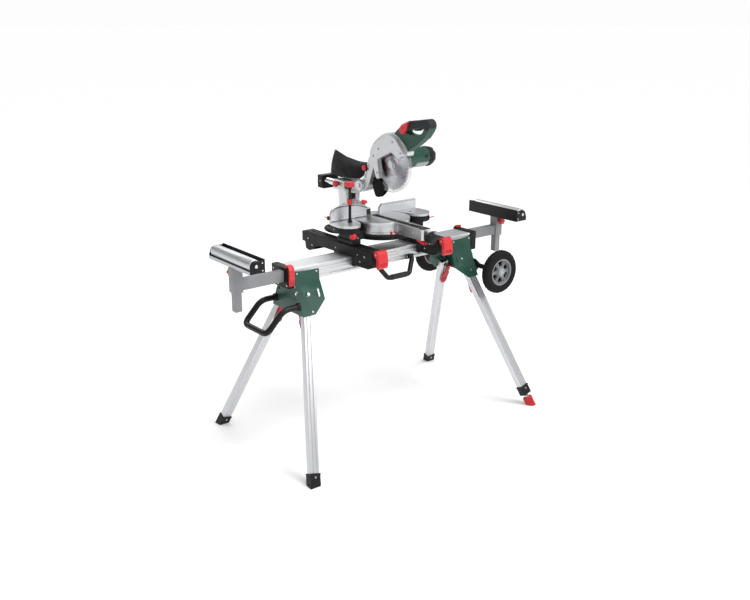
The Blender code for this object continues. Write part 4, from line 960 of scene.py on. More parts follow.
def make_support(side):
    name = side_name(side)
    body = f"support_{name}"
    x, y = side * POST_X, side * ARM_Y
    post = box(x - 0.015, x + 0.015, y - 0.015, y + 0.015, 0.658, CHANNEL_Z)
    inside = box(x - 0.0125, x + 0.0125, y - 0.0125, y + 0.0125, 0.650, 0.83)
    piece(f"support_post_{name}.skin", carved(post, inside), body, "grey", 0.0016, 3,
          replaces=(f"support_post_{name}",))
    plug = box(x - 0.0123, x + 0.0123, y - 0.0123, y + 0.0123, 0.6605, 0.666)
    piece(f"post_plug_{name}", plug, body, "black", 0.0010, 2)
    half = 0.158
    section = [(0.690, CHANNEL_Z), (0.7555, CHANNEL_Z), (0.7555, 0.8520), (0.7535, 0.8535),
               (0.7535, 0.8420), (0.690, 0.8420)]
    channel = prism([(side * px, pz) for px, pz in section], "Y", -half, half)
    piece(f"support_channel_{name}", channel, body, "channel", 0.0005, 1)
    ribs = [(0.6875, 0.8390), (0.6905, 0.8390), (0.6905, 0.8930), (0.6895, 0.8940), (0.6885, 0.8940),
            (0.6875, 0.8930)]
    stop = prism([(side * px, pz) for px, pz in ribs], "Y", -0.160, 0.160)
    piece(f"support_stop_{name}", stop, body, "black_metal", 0.0004, 1)
    lips = []
    for z in (0.8415, 0.8905):
        low, high = sorted((side * 0.6868, side * 0.6880))
        lips.append(box(low, high, -0.1595, 0.1595, z, z + 0.0022))
    piece(f"support_stop_lips_{name}", joined(lips), body, "black_metal", 0.0004, 1)
    lugs, screws = [], []
    for end in (-1, 1):
        near, far = sorted((end * 0.1545, end * 0.1600))
        outline = [(0.690, 0.8405), (0.7530, 0.8405), (0.7530, 0.8580), (0.7430, 0.8830), (0.7350, 0.8880),
                   (0.690, 0.8885)]
        lugs.append(prism([(side * px, pz) for px, pz in outline], "Y", near, far))
        face = end * 0.1600
        lugs.append(ring_band("Y", (side * ROLLER[0], ROLLER[1]), 0.0125, 0.0095,
                              *sorted((face, face + end * 0.0014)), 36))
        for px, pz in ((0.699, 0.8495), (0.699, 0.880)):
            screws.append(screw_head((side * px, face, pz), (0, end, 0), 0.0032, 0.0014, "cross"))
        screws.append(screw_head((side * ROLLER[0], face + end * 0.0016, ROLLER[1]), (0, end, 0), 0.0068,
                                 0.0012, "hex"))
    piece(f"support_lugs_{name}", joined(lugs), body, "black", 0.0012, 2)
    piece(f"support_screws_{name}", joined(screws), body, "zinc")
    make_roller(side)


def make_roller(side):
    name = side_name(side)
    body = f"roller_{name}"
    centre = (side * ROLLER[0], ROLLER[1])
    levels = [(-0.1495, 0.0228), (-0.1485, 0.0243), (-0.1465, 0.0250), (0.1465, 0.0250), (0.1485, 0.0243),
              (0.1495, 0.0228)]
    piece(f"roller_{name}.skin", stacked("Y", centre, levels, 72), body, "alu_y",
          replaces=(f"roller_{name}",))
    ends = []
    for end in (-1, 1):
        ends.append(stacked("Y", centre, [(end * 0.1490, 0.0205), (end * 0.1503, 0.0200),
                                          (end * 0.1508, 0.0120), (end * 0.1530, 0.0090),
                                          (end * 0.1530, 0.0050)], 48))
    piece(f"roller_ends_{name}", joined(ends), body, "black")


def make_height_knob(side):
    name = side_name(side)
    body = f"height_knob_{name}"
    face = side * ARM_Y - side * 0.0208
    out = -side
    centre = (side * POST_X, KNOB_Z)
    piece(f"height_knob_{name}.skin", knob("Y", centre, face + out * 0.008, face + out * 0.026, 0.017, 6,
                                           0.0042), body, "red", replaces=(f"height_knob_{name}",))
    neck = stacked("Y", centre, [(face, 0.0080), (face + out * 0.0085, 0.0080)], 32)
    piece(f"height_knob_neck_{name}", neck, body, "black")
    dot = stacked("Y", centre, [(face + out * 0.0252, 0.0052), (face + out * 0.0266, 0.0050),
                                (face + out * 0.0270, 0.0030)], 24)
    piece(f"height_knob_dot_{name}", dot, body, "deep_red")


def make_stand():
    make_beam()
    make_caps()
    make_brackets()
    make_legs()
    make_leveller()
    make_pull_handle()
    make_carry_handle()
    make_axle()
    make_wheels()
    make_extensions()


# --- tool rails ---------------------------------------------------------------------------------
def make_tool_rails():
    for side in (-1, 1):
        name = side_name(side)
        node = f"tool_rail_{name}"
        x = RAIL_X[0] if side < 0 else RAIL_X[1]
        slot = box(x - 0.0045, x + 0.0045, -0.150, 0.285, 0.8400, 0.850)
        refined(node, "black", 0.0014, 3, cut=(slot,))
        strips, screws, pads = [], [], []
        for face in (-1, 1):
            out = x + face * 0.030
            low, high = sorted((out - face * 0.0002, out + face * 0.0012))
            for z in (0.8045, 0.8330):
                strips.append(box(low, high, -0.160, 0.300, z, z + 0.0022))
            for y, z, size in ((-0.110, 0.788, 0.0036), (-0.142, 0.815, 0.0042), (-0.095, 0.815, 0.0030),
                               (0.060, 0.815, 0.0036), (0.240, 0.790, 0.0036), (0.270, 0.815, 0.0042)):
                screws.append(screw_head((out - face * (0.001 if z < 0.797 else 0.0), y, z), (face, 0, 0),
                                         size, 0.0018, "cross"))
        for y in (-0.045, 0.052):
            strips.append(box(x - 0.0235, x + 0.0235, y - 0.0015, y + 0.0015, 0.8418, 0.8426))
        pads.append(box(x - 0.0265, x - 0.0190, -0.180, 0.300, 0.8416, 0.8428))
        pads.append(box(x + 0.0190, x + 0.0265, -0.180, 0.300, 0.8416, 0.8428))
        piece(f"rail_strips_{name}", joined(strips), "tool_mount", "black_gloss", 0.0004, 1)
        piece(f"rail_pads_{name}", joined(pads), "tool_mount", "rubber", 0.0003, 1)
        piece(f"rail_screws_{name}", joined(screws), "tool_mount", "zinc")
        end = box(x - 0.0275, x + 0.0275, 0.3145, 0.3175, 0.7995, 0.8395)
        piece(f"rail_end_{name}", end, "tool_mount", "black", 0.0012, 2)
        foot = box(x - 0.0262, x + 0.0262, 0.222, 0.296, 0.7725, 0.7775)
        piece(f"rail_foot_{name}", foot, "tool_mount", "rubber", 0.0012, 2)
        make_rail_lever(side, x)


def make_rail_lever(side, x):
    """Broad red cam lever: rolled head, side cheeks and a thumb recess."""
    name = side_name(side)
    y, z = -0.212, 0.838
    outline = circle((y, z), 0.015, 16, radians(10), radians(170))
    outline += [(y - 0.0185, z - 0.012), (y - 0.0210, z - 0.030), (y - 0.0215, z - 0.046),
                (y - 0.0180, z - 0.0575), (y - 0.0120, z - 0.0620), (y - 0.0065, z - 0.0600),
                (y - 0.0040, z - 0.044), (y - 0.0030, z - 0.020), (y + 0.012, z - 0.010)]
    body = prism(outline, "X", x - 0.0245, x + 0.0245)
    recess = prism([(y - 0.035, z - 0.034), (y - 0.0185, z - 0.036), (y - 0.0180, z - 0.052),
                    (y - 0.035, z - 0.054)], "X", x - 0.0175, x + 0.0175)
    piece(f"rail_lever_{name}.skin", carved(body, recess), f"rail_lever_{name}", "red", 0.0024, 4,
          edge_angle=40, replaces=(f"rail_lever_{name}",))
    ribs = [box(x - 0.0160, x + 0.0160, y - 0.0205, y - 0.0175, z - 0.040 - 0.0045 * step,
                z - 0.0385 - 0.0045 * step) for step in range(3)]
    piece(f"rail_lever_ribs_{name}", joined(ribs), f"rail_lever_{name}", "red", 0.0005, 1)
    pin = disc("X", (y, z), 0.0042, x - 0.0252, x + 0.0252, 24)
    piece(f"rail_lever_pin_{name}", pin, f"rail_lever_{name}", "zinc", 0.0004, 2)


# --- saw base and table -------------------------------------------------------------------------
def wing_outline(side, inset=0.0):
    left = [(-0.233, 0.060), (-0.2375, 0.038), (-0.240, 0.016), (-0.242, -0.022), (-0.2345, -0.044),
            (-0.222, -0.058), (-0.207, -0.0685), (-0.190, -0.074), (-0.173, -0.0725), (-0.160, -0.066),
            (-0.143, -0.045), (-0.133, -0.020), (-0.126, 0.005), (-0.118, 0.060)]
    middle = Vector((-0.180, 0.0))
    points = []
    for spot in left:
        away = Vector(spot) - middle
        points.append(middle + away * (1.0 - inset / max(away.length, 0.02)))
    points = [(spot.x, spot.y) for spot in points]
    return points if side < 0 else [(2 * SAW_X - x, y) for x, y in points]


def make_saw_base():
    well = disc("Z", (SAW_X, 0), 0.1258, 0.8795, 1.0, 96)
    for side in (-1, 1):
        name = side_name(side)
        plate = prism(wing_outline(side), "Z", 0.9215, TABLE_Z)
        ledge = box(-0.30, 0.30, 0.0444, 0.07, 0.9312, 0.95)
        grooves = []
        for index in range(5):
            y = -0.048 + 0.020 * index
            low, high = sorted((side * 0.150 + SAW_X, side * 0.222 + SAW_X))
            grooves.append(box(low, high, y - 0.0006, y + 0.0006, 0.9316, 0.94))
        piece(f"table_plate_{name}", carved(plate, well.copy(), ledge, joined(grooves)), "tool_mount",
              "machined", 0.0010, 2, replaces=("saw_base",) if side < 0 else ())
        body = prism(wing_outline(side, 0.003), "Z", 0.8955, 0.9213)
        rail = RAIL_X[0] if side < 0 else RAIL_X[1]
        low, high = sorted((rail + side * 0.022, SAW_X + side * 0.095))
        web = box(low, high, -0.040, 0.046, 0.860, 0.897)
        piece(f"table_body_{name}", carved(fused(body, web), well.copy()), "tool_mount", "black", 0.0018, 3)
        foot = box(rail - 0.022, rail + 0.022, -0.052, 0.058, 0.8424, 0.868)
        piece(f"base_foot_{name}", foot, "tool_mount", "black", 0.0024, 3)
        ribs = []
        for index in range(4):
            px = SAW_X + side * (0.172 + 0.016 * index)
            ribs.append(box(px - 0.0015, px + 0.0015, -0.0715 + 0.004 * abs(index - 1.5), -0.0560, 0.898,
                            0.9195))
        piece(f"table_ribs_{name}", joined(ribs), "tool_mount", "black", 0.0006, 1)
        bolts = [screw_head((rail + dx, -0.042, 0.868), (0, 0, 1), 0.0052, 0.004, "hex")
                 for dx in (-0.013, 0.013)]
        bolts += [screw_head((rail + dx, 0.048, 0.868), (0, 0, 1), 0.0052, 0.004, "hex")
                  for dx in (-0.013, 0.013)]
        bolts += [screw_head((SAW_X + side * 0.2405, y, 0.908), (side, 0, 0), 0.0036, 0.0016, "cross")
                  for y in (-0.020, 0.020)]
        piece(f"base_bolts_{name}", joined(bolts), "tool_mount", "zinc")
        wide = 0.0125 if side < 0 else 0.0060
        cup = stacked("Z", (SAW_X + side * 0.168, 0.004), [(0.9318, wide), (0.9326, wide - 0.0003),
                                                           (0.9330, wide - 0.0020)], 40)
        piece(f"clamp_socket_{name}", cup, "tool_mount", "black")
    profile = [(0.070, 0.858), (0.1295, 0.858), (0.1295, 0.866), (0.1275, 0.868), (0.1275, 0.8770),
               (0.1260, 0.8800), (0.070, 0.8800)]
    piece("base_ring", turned(profile, "Z", (SAW_X, 0), 128), "tool_mount", "black", angle=30)
    path = [(-0.090, 0.060, 0.862), (-0.150, 0.165, 0.862), (-0.135, 0.225, 0.862), (-0.085, 0.240, 0.862),
            (-0.020, 0.110, 0.862)]
    piece("base_rear_bar", bar(rounded(path, 0.022, 8), 0.0110, 28), "tool_mount", "black")
    floor = disc("Z", (SAW_X, 0), 0.0698, 0.8600, 0.8780, 48)
    piece("base_floor", floor, "tool_mount", "black", 0.0010, 2)
    arcs = []
    for start, end in ((200, 247), (293, 340)):
        outer = circle((SAW_X, 0), 0.1375, 24, radians(start), radians(end))
        inner = circle((SAW_X, 0), 0.1300, 24, radians(start), radians(end))
        arcs.append(prism(outer + list(reversed(inner)), "Z", 0.8750, 0.8790))
    piece("mitre_scale", joined(arcs), "tool_mount", "black", 0.0006, 2)
    ticks = []
    for index in range(-22, 23):
        turn = radians(270 + index * 2.0)
        if abs(index) < 12:
            continue
        length = 0.0065 if index % 5 == 0 else 0.004
        tick = box(0.1370 - length, 0.1370, -0.0003, 0.0003, 0.8788, 0.8793)
        ticks.append(moved(tick, Matrix.Translation((SAW_X, 0, 0)) @ Matrix.Rotation(turn, 4, "Z")))
    piece("mitre_scale_marks", joined(ticks), "tool_mount", "zinc")
    make_base_knobs()


def make_base_knobs():
    """Small red levers on the base: fence locks and the left star knob."""
    knob_shell = knob("Y", (-0.1985, 0.8865), -0.0560, -0.0765, 0.0145, 5, 0.0036, 80)
    piece("base_star_knob", knob_shell, "tool_mount", "red")
    neck = stacked("Y", (-0.1985, 0.8865), [(-0.0500, 0.0050), (-0.0580, 0.0050)], 20)
    piece("base_star_stem", neck, "tool_mount", "zinc")
    fence_lock = bar([Vector(spot) for spot in ((-0.2340, 0.0600, 0.9500), (-0.2390, 0.0610, 0.9510),
                                                (-0.2440, 0.0620, 0.9530), (-0.2530, 0.0640, 0.9560))],
                     lambda share: 0.0028 - 0.0010 * share, 16)
    piece("fence_lock_left", fence_lock, "fence_left", "red")
    block = box(-0.2385, -0.2280, 0.0575, 0.0680, 0.9400, 0.9560)
    piece("fence_lock_post_left", block, "fence_left", "black", 0.0016, 2)
    lever = bar([Vector(spot) for spot in ((0.2300, -0.0420, 0.9080), (0.2400, -0.0500, 0.9060),
                                           (0.2480, -0.0560, 0.9070), (0.2590, -0.0600, 0.9100))],
                lambda share: 0.0030 - 0.0012 * share, 16)
    piece("fence_lock_right", lever, "tool_mount", "red")


def make_turntable():
    """Machined table with its arm, in more sides than the CAD solid and with softened edges."""
    centre = (SAW_X, 0)
    plate = stacked("Z", centre, [(0.8803, 0.1238), (0.8812, 0.1245), (0.8895, 0.1245), (0.8902, 0.1232),
                                  (0.9195, 0.1232), (0.9202, 0.1245), (0.9312, 0.1245), (0.9320, 0.1237)],
                    128)
    front = [(SAW_X - 0.030, -0.10), (SAW_X - 0.0265, -0.22), (SAW_X - 0.024, -0.290),
             (SAW_X - 0.018, -0.300), (SAW_X + 0.018, -0.300), (SAW_X + 0.024, -0.290),
             (SAW_X + 0.0265, -0.22), (SAW_X + 0.030, -0.10)]
    arm = prism(front, "Z", 0.886, TABLE_Z)
    rear = box(SAW_X - 0.028, SAW_X + 0.028, 0.10, 0.172, 0.884, 0.925)
    boss = disc("Y", (SAW_X, TABLE_Z), 0.044, 0.165, 0.1997, 64)
    rebate = box(SAW_X - 0.0145, SAW_X + 0.0145, -0.262, 0.062, 0.9265, 0.94)
    kerf = box(SAW_X - 0.008, SAW_X + 0.008, -0.256, 0.056, 0.905, 0.94)
    flank = joined([box(*sorted((SAW_X + side * 0.0262, SAW_X + side * 0.0400)), -0.250, -0.140, 0.892,
                        0.9245) for side in (-1, 1)])
    shell = combined(plate, [("UNION", arm), ("UNION", rear), ("UNION", boss), ("DIFFERENCE", rebate),
                             ("DIFFERENCE", kerf), ("DIFFERENCE", flank)])
    piece("turntable.skin", shell, "turntable", "turned", 0.0008, 2, edge_angle=24, replaces=("turntable",))
    ticks = []
    for index in range(-24, 25):
        turn = radians(270 + index * 2.5)
        if abs(index) < 6:
            continue
        length = 0.0105 if index % 6 == 0 else (0.0075 if index % 2 == 0 else 0.0045)
        tick = box(0.1230, 0.1236, -0.0003, 0.0003, 0.9185 - length, 0.9185)
        matrix = Matrix.Translation((SAW_X, 0, 0)) @ Matrix.Rotation(turn, 4, "Z")
        ticks.append(moved(tick, matrix))
    piece("turntable_marks", joined(ticks), "turntable", "ink")
    seam = ring_band("Z", centre, 0.1236, 0.1226, 0.8898, 0.8908, 128)
    piece("turntable_seam", seam, "turntable", "ink")
    pointer = prism([(-0.0415, -0.1190), (-0.0335, -0.1213), (-0.0345, -0.1265), (-0.0400, -0.1255)], "Z",
                    0.8800, 0.8930)
    piece("mitre_pointer", pointer, "turntable", "red", 0.0006, 2)
    screws = []
    for x, y in ((-0.070, -0.070), (0.080, -0.070), (-0.075, 0.030), (0.085, 0.030)):
        screws.append(screw_head((x, y, TABLE_TOP + 0.0004), (0, 0, 1), 0.0034, 0.0008, "cross"))
    for side in (-1, 1):
        for y in (-0.150, -0.240):
            screws.append(screw_head((SAW_X + side * 0.0262, y, 0.908), (side, 0, 0), 0.0036, 0.0012,
                                     "hex"))
    piece("turntable_screws", joined(screws), "turntable", "zinc")
    cover = box(SAW_X - 0.0215, SAW_X + 0.0215, -0.2990, -0.2640, TABLE_TOP, 0.9330)
    piece("arm_cover", cover, "turntable", "black", 0.0008, 2)
    lip = joined([box(*sorted((SAW_X + side * 0.0148, SAW_X + side * 0.0172)), -0.262, 0.062, TABLE_TOP,
                      0.9322) for side in (-1, 1)])
    piece("insert_lips", lip, "turntable", "black", 0.0003, 1)


def make_insert():
    refined("table_insert", "black", 0.0005, 1)
    screws = []
    for y in (-0.2570, -0.180, -0.095, -0.010, 0.0570):
        for side in (-1, 1):
            screws.append(screw_head((SAW_X + side * 0.0092, y, TABLE_TOP), (0, 0, 1), 0.0026, 0.0010,
                                     "cross"))
    piece("insert_screws", joined(screws), "turntable", "zinc")


def make_mitre_controls():
    centre = (SAW_X, 0.898)
    face = -0.3003
    piece("mitre_lock_knob.skin", knob("Y", centre, face - 0.008, face - 0.040, 0.0252, 5, 0.0046),
          "mitre_knob", "black", replaces=("mitre_lock_knob",))
    neck = stacked("Y", centre, [(face, 0.0150), (face - 0.004, 0.0150), (face - 0.0050, 0.0110),
                                 (face - 0.009, 0.0110)], 40)
    piece("mitre_knob_neck", neck, "mitre_knob", "black")
    cap = stacked("Y", centre, [(face - 0.0392, 0.0088), (face - 0.0404, 0.0086), (face - 0.0410, 0.0060)],
                  32)
    piece("mitre_knob_cap", cap, "mitre_knob", "black_gloss")
    refined("mitre_latch", "red", 0.0018, 3)
    hinge = disc("X", (-0.2515, 0.8795), 0.0038, SAW_X - 0.0125, SAW_X + 0.0125, 24)
    piece("mitre_latch_pin", hinge, "mitre_latch", "zinc", 0.0003, 1)


def make_fences():
    back, base, face = 0.057, 0.9325, 0.045
    left = [(-0.232, base), (-0.020, base), (-0.020, 0.968), (-0.040, 0.9765), (-0.066, 0.986),
            (-0.085, 0.9925), (-0.100, 0.996), (-0.140, 0.9978), (-0.180, 0.998), (-0.200, 0.996),
            (-0.212, 0.992), (-0.224, 0.982), (-0.232, 0.968)]
    cuts = [disc("Y", spot, 0.0024, 0.03, 0.07, 20) for spot in ((-0.070, 0.972), (-0.205, 0.975),
                                                                 (-0.118, 0.985), (-0.164, 0.985))]
    relief = prism([(-0.222, 0.944), (-0.036, 0.944), (-0.036, 0.964), (-0.072, 0.979), (-0.104, 0.987),
                    (-0.180, 0.989), (-0.206, 0.984), (-0.222, 0.964)], "Y", 0.0515, 0.07)
    groove = box(-0.24, -0.01, 0.03, 0.0456, 0.9398, 0.9408)
    piece("fence_left.skin", carved(prism(left, "Y", face, back), *cuts, relief, groove), "fence_left",
          "alu_x", 0.0008, 2, replaces=("fence_left",))
    # painted shadow: thin dark strips on the fence face, in a band below its curved top, along its foot and
    # up its inner end, standing in for shadow lines
    rim = []
    top = left[3:-1]
    for one, two in zip(top, top[1:]):
        rim.append(prism([(one[0], one[1] - 0.0040), (two[0], two[1] - 0.0040), (two[0], two[1] - 0.0078),
                          (one[0], one[1] - 0.0078)], "Y", face - 0.0004, face + 0.0004))
    rim.append(box(-0.2310, -0.0210, face - 0.0004, face + 0.0004, 0.9330, 0.9352))
    rim.append(box(-0.0420, -0.0205, face - 0.0008, face + 0.0004, 0.9370, 0.9640))
    piece("fence_left_shadow_lines", joined(rim), "fence_left", "ink")
    right = [(0.030, base), (0.240, base), (0.240, 0.974), (0.238, 0.976), (0.046, 0.976), (0.030, 0.960)]
    holes = [disc("Y", (0.060 + 0.018 * step, 0.9600), 0.0017, 0.03, 0.07, 16) for step in range(10)]
    relief = prism([(0.040, 0.943), (0.230, 0.943), (0.230, 0.966), (0.050, 0.966), (0.040, 0.958)], "Y",
                   0.0515, 0.07)
    groove = box(0.02, 0.25, 0.03, 0.0456, 0.9398, 0.9408)
    piece("fence_right.skin", carved(prism(right, "Y", face, back), *holes, relief, groove), "fence_right",
          "alu_x", 0.0008, 2, replaces=("fence_right",))
    ticks = []
    for step in range(36):
        x = 0.050 + 0.0052 * step
        length = 0.0070 if step % 5 == 0 else 0.0042
        ticks.append(box(x - 0.0007, x + 0.0007, face - 0.0003, face + 0.0003, 0.9745 - length, 0.9745))
    piece("fence_right_marks", joined(ticks), "fence_right", "ink")
    for name, low, high in (("left", -0.228, -0.110), ("right", 0.120, 0.236)):
        foot = box(low, high, 0.0575, 0.0700, 0.9330, 0.9390)
        piece(f"fence_foot_{name}", foot, f"fence_{name}", "alu_x", 0.0010, 2)
        bolts = [screw_head((x, 0.0640, 0.9390), (0, 0, 1), 0.0044, 0.0034, "hex")
                 for x in (low + 0.016, (low + high) / 2, high - 0.016)]
        piece(f"fence_bolts_{name}", joined(bolts), f"fence_{name}", "black_metal")


# --- bevel column and slide ---------------------------------------------------------------------
def make_column():
    refined("bevel_column", "cast", 0.0022, 3)
    dark, bright, black = [], [], []
    for side in (-1, 1):
        black.append(ring_band("Y", (SAW_X + side * SLIDE_SPREAD, SLIDE_Z), 0.0178, 0.0146, 0.1968, 0.2012,
                               64))
        black.append(ring_band("Y", (SAW_X + side * SLIDE_SPREAD, SLIDE_Z), 0.0178, 0.0146, 0.2828, 0.2856,
                               64))
        for y in (0.214, 0.242, 0.270):
            bright.append(screw_head((SAW_X + side * 0.027, y, 1.0624), (0, 0, 1), 0.0038, 0.0022, "hex"))
        low, high = sorted((SAW_X + side * 0.0515, SAW_X + side * 0.0528))
        for y in (0.212, 0.272):
            dark.append(box(low, high, y - 0.0022, y + 0.0022, 1.024, 1.055))
    piece("column_seals", joined(black), "column", "black")
    piece("column_bolts", joined(bright), "column", "zinc")
    piece("column_ribs", joined(dark), "column", "cast", 0.0008, 2)
    web = []
    for side in (-1, 1):
        low, high = sorted((SAW_X + side * 0.030, SAW_X + side * 0.034))
        web.append(prism([(0.204, 0.955), (0.264, 0.955), (0.272, 1.024), (0.202, 1.024)], "X", low, high))
    piece("column_webs", joined(web), "column", "cast", 0.0012, 2)
    scale = carved(ring_band("Y", (SAW_X, TABLE_Z), 0.0462, 0.0400, 0.2006, 0.2036, 96),
                   box(-0.06, 0.07, 0.19, 0.22, 0.86, 0.925))
    piece("bevel_scale", scale, "column", "machined", 0.0004, 1)
    ticks = []
    for index in range(-9, 10):
        tick = box(-0.0003, 0.0003, 0.2000, 0.2008, 0.0415, 0.0452 if index % 3 else 0.0458)
        ticks.append(moved(tick, Matrix.Translation((SAW_X, 0, TABLE_Z))
                           @ Matrix.Rotation(radians(6.5 * index), 4, "Y")))
    piece("bevel_scale_marks", joined(ticks), "column", "ink")
    slot = box(SAW_X - 0.0120, SAW_X + 0.0120, 0.2010, 0.2046, 0.972, 1.008)
    piece("column_slot_cover", slot, "column", "black", 0.0014, 3)
    pointer = prism([(SAW_X - 0.0022, 0.9795), (SAW_X + 0.0022, 0.9795), (SAW_X + 0.0016, 0.9860),
                     (SAW_X - 0.0016, 0.9860)], "Y", 0.1988, 0.2005)
    piece("bevel_pointer", pointer, "column", "red", 0.0003, 1)
    make_bevel_lever()


def make_bevel_lever():
    near = 0.2643
    hub = stacked("Y", (SAW_X, 0.952), [(near, 0.0138), (near + 0.0125, 0.0140), (near + 0.0140, 0.0125),
                                        (near + 0.0146, 0.0080)], 48)
    path = [Vector((SAW_X, near + 0.008, 0.952)), Vector((SAW_X + 0.010, near + 0.0085, 0.9360)),
            Vector((SAW_X + 0.021, near + 0.009, 0.9150)), Vector((SAW_X + 0.029, near + 0.009, 0.9000)),
            Vector((SAW_X + 0.0325, near + 0.009, 0.8935)), Vector((SAW_X + 0.0345, near + 0.009, 0.8900))]
    grip = bar(path, lambda share: 0.0050 + 0.0024 * share - (0.0026 if share > 0.98 else 0.0), 24)
    piece("bevel_lock_lever.skin", fused(hub, grip), "bevel_lever", "black", 0.0006, 2, edge_angle=40,
          replaces=("bevel_lock_lever",))
    nut = hex_nut((SAW_X, near + 0.0140, 0.952), (0, 1, 0), 0.0062, 0.0054)
    piece("bevel_lever_nut", nut, "bevel_lever", "zinc")


def make_slide():
    rods = []
    for side in (-1, 1):
        rods.append(stacked("Y", (SAW_X + side * SLIDE_SPREAD, SLIDE_Z), [(0.140, 0.0140), (0.372, 0.0140)],
                            64))
    piece("slide_rods", joined(rods), "slide", "rail_steel", replaces=("slide_rails",))
    cap = fused(box(SAW_X - 0.055, SAW_X + 0.055, 0.3660, 0.4010, SLIDE_Z - 0.034, SLIDE_Z + 0.0225),
                box(SAW_X - 0.047, SAW_X + 0.047, 0.3664, 0.3990, SLIDE_Z - 0.038, SLIDE_Z - 0.0150))
    piece("slide_cap", cap, "slide", "black", 0.0070, 5)
    dimples = [screw_head((SAW_X + side * SLIDE_SPREAD, 0.4008, SLIDE_Z), (0, 1, 0), 0.0058, 0.0008, "hex")
               for side in (-1, 1)]
    dimples += [screw_head((SAW_X + side * 0.0508, 0.383, SLIDE_Z - 0.004), (side, 0, 0), 0.0040, 0.0052,
                           "cross") for side in (-1, 1)]
    piece("slide_cap_screws", joined(dimples), "slide", "zinc")
    block = box(SAW_X - 0.050, SAW_X + 0.050, 0.131, 0.158, 1.022, 1.066)
    ears, pockets = [], []
    for side in (-1, 1):
        low, high = sorted((SAW_X + side * 0.0335, SAW_X + side * 0.047))
        outline = circle((PIVOT[0], PIVOT[1]), 0.022, 20, radians(75), radians(260))
        outline += [(0.150, 1.026), (0.150, 1.064), (0.128, 1.070)]
        ears.append(("UNION", prism(outline, "X", low, high)))
        out_low, out_high = sorted((SAW_X + side * 0.0440, SAW_X + side * 0.060))
        for y0, y1, z0, z1 in ((0.1335, 0.1425, 1.0265, 1.0420), (0.1335, 0.1425, 1.0455, 1.0620),
                               (0.1455, 0.1550, 1.0265, 1.0420), (0.1455, 0.1550, 1.0455, 1.0620),
                               (0.1150, 0.1290, 1.0330, 1.0460)):
            pockets.append(("DIFFERENCE", box(out_low, out_high, y0, y1, z0, z1)))
    piece("slide_carriage", combined(block, ears + pockets), "slide", "cast", 0.0010, 2)
    pivots = [hex_nut((SAW_X + side * 0.0470, *PIVOT), (side, 0, 0), 0.0088, 0.0058) for side in (-1, 1)]
    piece("pivot_bolts", joined(pivots), "slide", "zinc")
    spring = stacked("X", PIVOT, [(SAW_X + 0.0475, 0.0155), (SAW_X + 0.0480, 0.0172),
                                  (SAW_X + 0.0500, 0.0172), (SAW_X + 0.0506, 0.0158)], 48)
    piece("spring_cover", spring, "slide", "black")
    wipers = [ring_band("Y", (SAW_X + side * SLIDE_SPREAD, SLIDE_Z), 0.0168, 0.0142, 0.1578, 0.1600, 64)
              for side in (-1, 1)]
    piece("slide_wipers", joined(wipers), "slide", "black")
    make_rail_knob()


def make_rail_knob():
    face = SAW_X - 0.0523
    centre = (0.245, SLIDE_Z + 0.004)
    piece("rail_lock_knob.skin", knob("X", centre, face - 0.007, face - 0.024, 0.0145, 6, 0.0034),
          "rail_knob", "red", replaces=("rail_lock_knob",))
    neck = stacked("X", centre, [(face, 0.0075), (face - 0.008, 0.0070)], 28)
    piece("rail_knob_neck", neck, "rail_knob", "black")


# --- saw head -----------------------------------------------------------------------------------
def from_arbor(points):
    return [(ARBOR[0] + y, ARBOR[1] + z) for y, z in points]


def smooth_outline(points, steps=6):
    """A closed Catmull-Rom curve through points."""
    count = len(points)
    curve = []
    for index in range(count):
        p0, p1, p2, p3 = (Vector(points[(index + shift) % count]) for shift in (-1, 0, 1, 2))
        for step in range(steps):
            t = step / steps
            spot = 0.5 * (2 * p1 + (p2 - p0) * t + (2 * p0 - 5 * p1 + 4 * p2 - p3) * t * t
                          + (3 * p1 - p0 - 3 * p2 + p3) * t * t * t)
            curve.append((spot.x, spot.y))
    return curve


